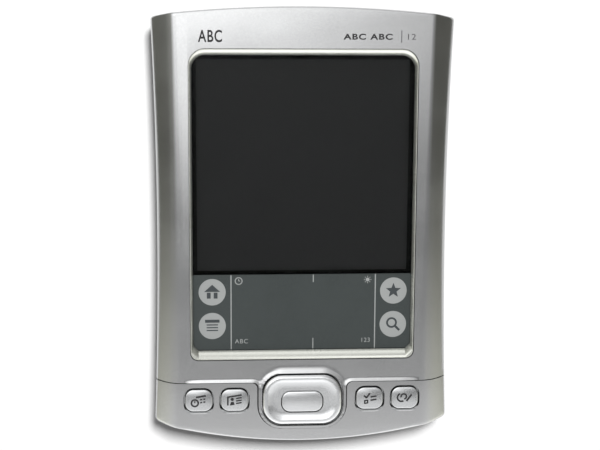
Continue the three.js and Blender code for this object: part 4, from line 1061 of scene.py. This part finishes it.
def make_input_area():
    """The printed handwriting area under the display."""
    sheet = prism(frame_rect(AREA_HALF, AREA_HEAD, AREA_FOOT, 0.2, 1.35, 6), 12.525, FILM_TOP)
    settle(dress(solid_object("input_film", sheet), input_print), "casing", "input_area_film")
    layers = (
        ("input_lines", area_lines, AREA_INK, pale_ink),
        ("input_discs", area_discs, AREA_INK, pale_ink),
        ("input_icons", area_icons, AREA_INK + 2 * INK, dim_ink),
    )
    for name, draw, z, ink in layers:
        bm = bmesh.new()
        draw(bm, z)
        finish_marks(name, bm, ink, "casing")
    lettering("letters_mark", "ABC", -17.8, -30.75, 1.15, AREA_INK, pale_ink, "casing", 1.15)
    lettering("numbers_mark", "123", 15.5, -30.75, 1.15, AREA_INK, pale_ink, "casing", 1.1)


make_input_area()
make_divider()
lettering("left_mark", "ABC", -26.9, 48.4, 3.0, FACE + INK, black_ink, "casing", 1.12, 0.7, 0.018)
lettering("right_mark", "ABC ABC", 10.1, 49.1, 1.45, FACE + INK, black_ink, "casing", 1.15, 1.35, 0.03)
lettering("number_mark", "12", 26.0, 49.1, 1.45, FACE + INK, grey_ink, "casing", 1.1, 1.2, 0.0)

# ---------------------------------------------------------------- keys and navigation pad

KEY_COLLAR = 12.6
KEY_CROWN = CHIN_FACE + 0.12
SELECT_CROWN = 14.6
SLANT = math.tan(math.radians(9.0))


def stepped(x, y, width, height, radius, levels):
    """A cap from levels of height, inset all round, and what the corner radius loses."""
    return loft(
        [(z, rounded_rect(x, y, width - 2 * i, height - 2 * i, radius - r, steps=12)) for z, i, r in levels]
    )


def make_key_cap(name, x):
    levels = [(KEY_COLLAR - 0.5, 0, 0), (KEY_CROWN - 0.3, 0, 0), (KEY_CROWN - 0.12, 0.1, 0.1)]
    levels.append((KEY_CROWN, 0.45, 0.35))
    cap = stepped(x, KEY_ROW, KEY_WIDTH, KEY_HEIGHT, KEY_RADIUS, levels)
    piece = solid_object(name + "_key_cap", cap)
    collar = rounded_rect(x, KEY_ROW, KEY_WIDTH + 1.6, KEY_HEIGHT + 1.6, KEY_RADIUS)
    stem = post(x, KEY_ROW, 11.0, KEY_COLLAR - 0.1, 1.0, 24)
    weld(piece, prism(collar, KEY_COLLAR - 0.5, KEY_COLLAR), stem)
    settle(dress(soften_edges(piece, 0.06), silver_key), name + "_key", name + "_button")


class Symbol:
    """Marks printed on a key, placed from its middle. Bars and blocks climb a little to the right."""

    def __init__(self, x):
        self.x = x
        self.z = KEY_CROWN + INK
        self.bm = bmesh.new()

    def climbing(self, points):
        return [(self.x + px, KEY_ROW + py + px * SLANT) for px, py in points]

    def bar(self, x0, y0, x1, y1, width):
        (ax, ay), (bx, by) = self.climbing([(x0, y0), (x1, y1)])
        stroke_mark(self.bm, ax, ay, bx, by, width, self.z)

    def shape(self, points):
        shape_mark(self.bm, self.climbing(points), self.z)

    def stroke(self, x0, y0, x1, y1, width):
        stroke_mark(self.bm, self.x + x0, KEY_ROW + y0, self.x + x1, KEY_ROW + y1, width, self.z)

    def ring(self, x, y, radius, width, start=0, end=360, steps=36, lift=0.0):
        ring_mark(self.bm, self.x + x, KEY_ROW + y, radius, width, self.z + lift, start, end, steps)


def draw_calendar(mark):
    mark.ring(-1.05, -0.65, 0.9, 0.45)
    mark.stroke(-1.05, -0.65, -1.05, -0.1, 0.32)
    mark.bar(-0.75, 1.05, 1.9, 1.05, 0.5)
    for row in (0, 0.8):
        for column in (0, 0.85):
            left, right, low, high = 0.35 + column, 0.9 + column, row - 0.8, row - 0.4
            mark.shape([(left, low), (right, low), (right, high), (left, high)])


def draw_contacts(mark):
    mark.bar(-1.9, 1.15, 1.9, 1.15, 0.43)
    mark.stroke(-1.78, -1.4, -1.78, 0.9, 0.43)
    disc_mark(mark.bm, mark.x - 0.6, KEY_ROW + 0.25, 0.44, mark.z, 20)
    mark.shape([(-1.25, -1.25), (0.05, -1.25), (-0.22, -0.35), (-0.98, -0.35)])
    for k in range(3):
        mark.bar(0.4, 0.4 - 0.68 * k, 1.9, 0.4 - 0.68 * k, 0.36)


def draw_tasks(mark):
    mark.stroke(-1.5, 0.75, -0.8, 0.1, 0.46)
    mark.stroke(-0.9, 0.05, 0.1, 1.4, 0.46)
    for y in (-0.45, -1.2):
        mark.bar(-1.35, y, -0.45, y, 0.36)
    for x in (-1.3, -0.5):
        mark.bar(x, -1.3, x, -0.35, 0.36)
    for y in (0.3, -0.6):
        mark.bar(0.25, y, 1.85, y, 0.43)


def draw_notepad(mark):
    mark.ring(-0.25, 0.35, 0.72, 0.44, -80, 200, 24)
    mark.ring(-0.85, 0.1, 1.1, 0.44, 110, 300, 24, 2 * INK)
    mark.stroke(0.5, -0.95, 1.85, 0.9, 0.5)


def make_keys():
    symbols = {
        "calendar": draw_calendar,
        "contacts": draw_contacts,
        "tasks": draw_tasks,
        "notepad": draw_notepad,
    }
    for name, x in KEY_XS.items():
        make_key_cap(name, x)
        mark = Symbol(x)
        symbols[name](mark)
        finish_marks(name + "_symbol", mark.bm, black_ink, name + "_key")


def pad_ring(z, inset):
    radius = max(PAD_RADIUS - inset * 0.75, 1.2)
    return z, rounded_rect(0, KEY_ROW, PAD_WIDTH - 2 * inset, PAD_HEIGHT - 2 * inset, radius, steps=14)


def make_pad():
    """The pad: a rounded outer shoulder, a crest and a dish that falls to the select button."""
    levels = [pad_ring(11.9, 0), pad_ring(14.3, 0)]
    for i in range(1, 7):
        a = math.radians(15 * i)
        levels.append(pad_ring(14.3 + 0.7 * math.sin(a), 1.1 * (1 - math.cos(a))))
    piece = solid_object("navigation_pad", loft(levels))
    collar = rounded_rect(0, KEY_ROW, PAD_WIDTH + 1.2, PAD_HEIGHT + 1.2, PAD_RADIUS, steps=10)
    feet = [post(x, KEY_ROW, 10.95, 12.1, 0.6, 20) for x in (-9.4, 9.4)]
    weld(piece, prism(collar, 11.9, 12.4), *feet)
    dish = [pad_ring(14.58 + 0.42 * (k / 7) ** 2.3, 3.7 - 0.34 * k) for k in range(8)]
    dish += [pad_ring(15.08, 1.2), pad_ring(16, 1.2)]
    gap = 2 * CLEAR - 0.2
    hole = rounded_rect(0, SELECT_Y, SELECT_WIDTH + gap, SELECT_HEIGHT + gap, SELECT_RADIUS + CLEAR, steps=12)
    carve(piece, loft(dish), prism(hole, 11, 16))
    settle(dress(soften_edges(piece, 0.08, 2, 35), lit_silver_pad), "pad", "nav_pad")


def make_select():
    levels = [(12.05, 0, 0), (SELECT_CROWN - 0.25, 0, 0), (SELECT_CROWN - 0.08, 0.1, 0.05)]
    levels.append((SELECT_CROWN, 0.4, 0.2))
    cap = stepped(0, SELECT_Y, SELECT_WIDTH, SELECT_HEIGHT, SELECT_RADIUS, levels)
    piece = solid_object("select_cap", cap)
    weld(piece, post(0, KEY_ROW, 11.0, 12.3, 1.0, 24))
    settle(dress(soften_edges(piece, 0.06), lit_silver_pad), "select", "select_button")


make_keys()
make_pad()
make_select()

# ---------------------------------------------------------------- stylus and screws


def end_wall(x, z):
    return TOP_END - end_draft(z) - TOP_ARCH * (x / HALF_END) ** 2


def turned(name, profile):
    """A piece turned about the stylus's axis, from radius and place pairs."""
    bm = bmesh.new()
    line = [bm.verts.new(((STYLUS_X + r) * MM, y * MM, STYLUS_Z * MM)) for r, y in profile]
    edges = [bm.edges.new(pair) for pair in zip(line, line[1:])]
    middle = (STYLUS_X * MM, 0, STYLUS_Z * MM)
    bmesh.ops.spin(
        bm, geom=line + edges, cent=middle, axis=(0, 1, 0), angle=2 * math.pi, steps=48, use_merge=True
    )
    bmesh.ops.remove_doubles(bm, verts=bm.verts[:], dist=1e-6)
    return solid_object(name, bm)


def make_stylus():
    """A metal barrel, a grooved cap that stands out of the silo, and a plastic tip."""
    top = end_wall(STYLUS_X, STYLUS_Z) + 0.8
    head, foot = top - 6.6, top - 94.6
    tail = foot + 6
    barrel = [(0, tail), (1.9, tail), (2, tail + 0.1), (2, head - 0.1), (1.9, head), (0, head)]
    cap = [(0, head + 0.05), (2.0, head + 0.05), (2.1, head + 0.2)]
    groove = ((2.1, 2.15), (1.8, 1.95), (1.75, 1.5), (1.8, 1.25), (2.1, 1.05))
    crown = ((2.1, 0.5), (1.9, 0.15), (1.4, 0), (0, 0))
    cap += [(radius, top - down) for radius, down in groove + crown]
    tip = [(0, foot), (0.35, foot + 0.05), (0.5, foot + 0.4), (1.85, tail - 1.7), (2, tail - 1.5)]
    tip += [(2, tail - 0.05), (0, tail - 0.05)]
    parts = (
        ("stylus_tube", barrel, stylus_metal, "stylus_barrel"),
        ("stylus_end", cap, silver_key, "stylus_cap"),
        ("stylus_point", tip, black_plastic, "stylus_tip"),
    )
    for name, profile, material, node in parts:
        settle(dress(soften_edges(turned(name, profile), 0.03), material), "stylus", node)


def make_screws():
    corners = ("top_left", "top_right", "bottom_left", "bottom_right")
    for corner, (x, y) in zip(corners, screw_places):
        piece = solid_object("case_screw_" + corner, post(x, y, 0.5, 1.6, 1.9, 40))
        weld(piece, post(x, y, 1.5, 9.6, 0.95, 24))
        star = []
        for i in range(24):
            r = 0.85 if (i // 2) % 2 == 0 else 0.62
            a = math.radians(15 * i)
            star.append((x + r * math.cos(a), y + r * math.sin(a)))
        carve(piece, prism(star, -0.5, 1.1))
        settle(dress(soften_edges(piece, 0.1), screw_steel), "casing", "back_screw_" + corner)


make_stylus()
make_screws()

# ---------------------------------------------------------------- pieces that keep their CAD shape

carried = {
    "glass_gasket": foam,
    "touch_panel": clear,
    "display_backlight": white_plastic,
    "display_cradle": steel,
    "chassis": grey_plastic,
    "display_ribbon": amber_film,
    "touch_panel_tail": amber_film,
    "main_board": board_green,
    "shield_can": steel,
    "processor_chip": black_plastic,
    "memory_chip": black_plastic,
    "radio_module": steel,
    "key_board": amber_film,
    "dome_sheet": steel,
    "key_mat": rubber,
    "nav_rocker_plate": grey_plastic,
    "card_cage": steel,
    "blank_memory_card": black_plastic,
    "headphone_jack": black_plastic,
    "infrared_window": dark_red,
    "infrared_transceiver": black_plastic,
    "power_button": silver_key,
    "power_switch": steel,
    "dock_connector": black_plastic,
    "dock_contacts": gold,
    "battery": cell_wrap,
    "battery_socket": white_plastic,
    "battery_lead_red": red_wire,
    "battery_lead_black": black_plastic,
    "speaker": steel,
    "speaker_gasket": foam,
    "reset_switch": steel,
    "reset_plunger": black_plastic,
    "rating_label": label_film,
    "stylus_silo": grey_plastic,
}
for name, material in carried.items():
    dress(nodes[name], material)

# ---------------------------------------------------------------- floor, light and camera


def make_floor():
    bm = bmesh.new()
    bmesh.ops.create_grid(bm, x_segments=1, y_segments=1, size=4.0)
    floor = solid_object("floor", bm)
    plain = Finish("grey_floor", 0.9, Specular_IOR_Level=0.1)
    tone = noise(plain.tree, plain.place, 3.0, 2.0)
    plain.feed(colour_mix(plain.tree, tone, (0.155, 0.155, 0.155, 1), (0.165, 0.165, 0.165, 1)), "Base Color")
    dress(floor, plain.material)
    return floor


def make_floor_lamp(floor):
    """A soft box beyond the top end that lights the floor and nothing else."""
    place = Vector((0.13, 0.52, 1.15))
    data = bpy.data.lights.new("floor_box", "AREA")
    data.shape = "RECTANGLE"
    data.size, data.size_y = 0.24, 0.30
    data.energy = 103.0
    lamp = bpy.data.objects.new("floor_box", data)
    bpy.context.scene.collection.objects.link(lamp)
    lamp.location = place
    lamp.rotation_euler = (-place).to_track_quat("-Z", "Y").to_euler()
    lit = bpy.data.collections.new("floor_box_lights")
    lit.objects.link(floor)
    lamp.light_linking.receiver_collection = lit


def make_surroundings():
    """A dim studio: bright past the top end, paler towards the viewer, dark to both sides."""
    world = bpy.data.worlds.new("studio")
    bpy.context.scene.world = world
    world.use_nodes = True
    tree = world.node_tree
    split = tree.nodes.new("ShaderNodeSeparateXYZ")
    tree.links.new(tree.nodes.new("ShaderNodeTexCoord").outputs["Generated"], split.inputs["Vector"])
    x, y = split.outputs["X"], split.outputs["Y"]
    across = arithmetic(tree, "ABSOLUTE", x)
    ahead = value_map(tree, y, -0.165, 0.0, 0.0, 2.1)
    for fade in (
        value_map(tree, x, 0.02, 0.2, 1.0, 0.34),
        value_map(tree, across, 0.3, 0.85, 1.0, 0.06),
        value_map(tree, y, 0.3, 0.6, 1.0, 0.42),
    ):
        ahead = multiply(tree, ahead, fade)
    beyond = value_map(tree, y, 0.6, 0.9, 0.0, 1.25)
    nearer = value_map(tree, y, -0.16, -0.41, 0.0, 0.9)
    nearer = multiply(tree, nearer, value_map(tree, across, 0.3, 0.9, 1.0, 1.62))
    nearer = add(tree, nearer, value_map(tree, y, -0.6, -0.9, 0.0, 0.9))
    level = arithmetic(tree, "MAXIMUM", arithmetic(tree, "MAXIMUM", ahead, beyond), nearer)
    level = add(tree, level, value_map(tree, across, 0.25, 0.9, 0.105, 0.09))
    flank = value_map(tree, across, 0.5, 0.95, 0.0, 1.0)
    shader = tree.nodes["Background"]
    tree.links.new(colour_mix(tree, flank, (0.99, 0.99, 1.0, 1), (1.0, 1.0, 0.88, 1)), shader.inputs["Color"])
    tree.links.new(level, shader.inputs["Strength"])


def make_camera():
    tilt, turn, roll = math.radians(9.67), math.radians(-4.0), math.radians(0.31)
    away = Vector((math.sin(turn) * math.cos(tilt), math.sin(tilt), math.cos(turn) * math.cos(tilt)))
    aim = Vector((-0.9, 1.32, 15.0))
    across = Vector((0, 1, 0)).cross(away).normalized()
    up = away.cross(across)
    right = math.cos(roll) * across + math.sin(roll) * up
    above = -math.sin(roll) * across + math.cos(roll) * up
    data = bpy.data.cameras.new("view")
    data.lens = 1342.8 * 36 / 600
    data.sensor_width = 36
    data.clip_start, data.clip_end = 0.01, 20
    camera = bpy.data.objects.new("view", data)
    bpy.context.scene.collection.objects.link(camera)
    turned_to = Matrix((right, above, away)).transposed().to_4x4()
    camera.matrix_world = Matrix.Translation((aim + 348.6 * away) * MM) @ turned_to
    bpy.context.scene.camera = camera


make_surroundings()
make_floor_lamp(make_floor())
make_camera()
bpy.context.scene.view_settings.view_transform = "Standard"
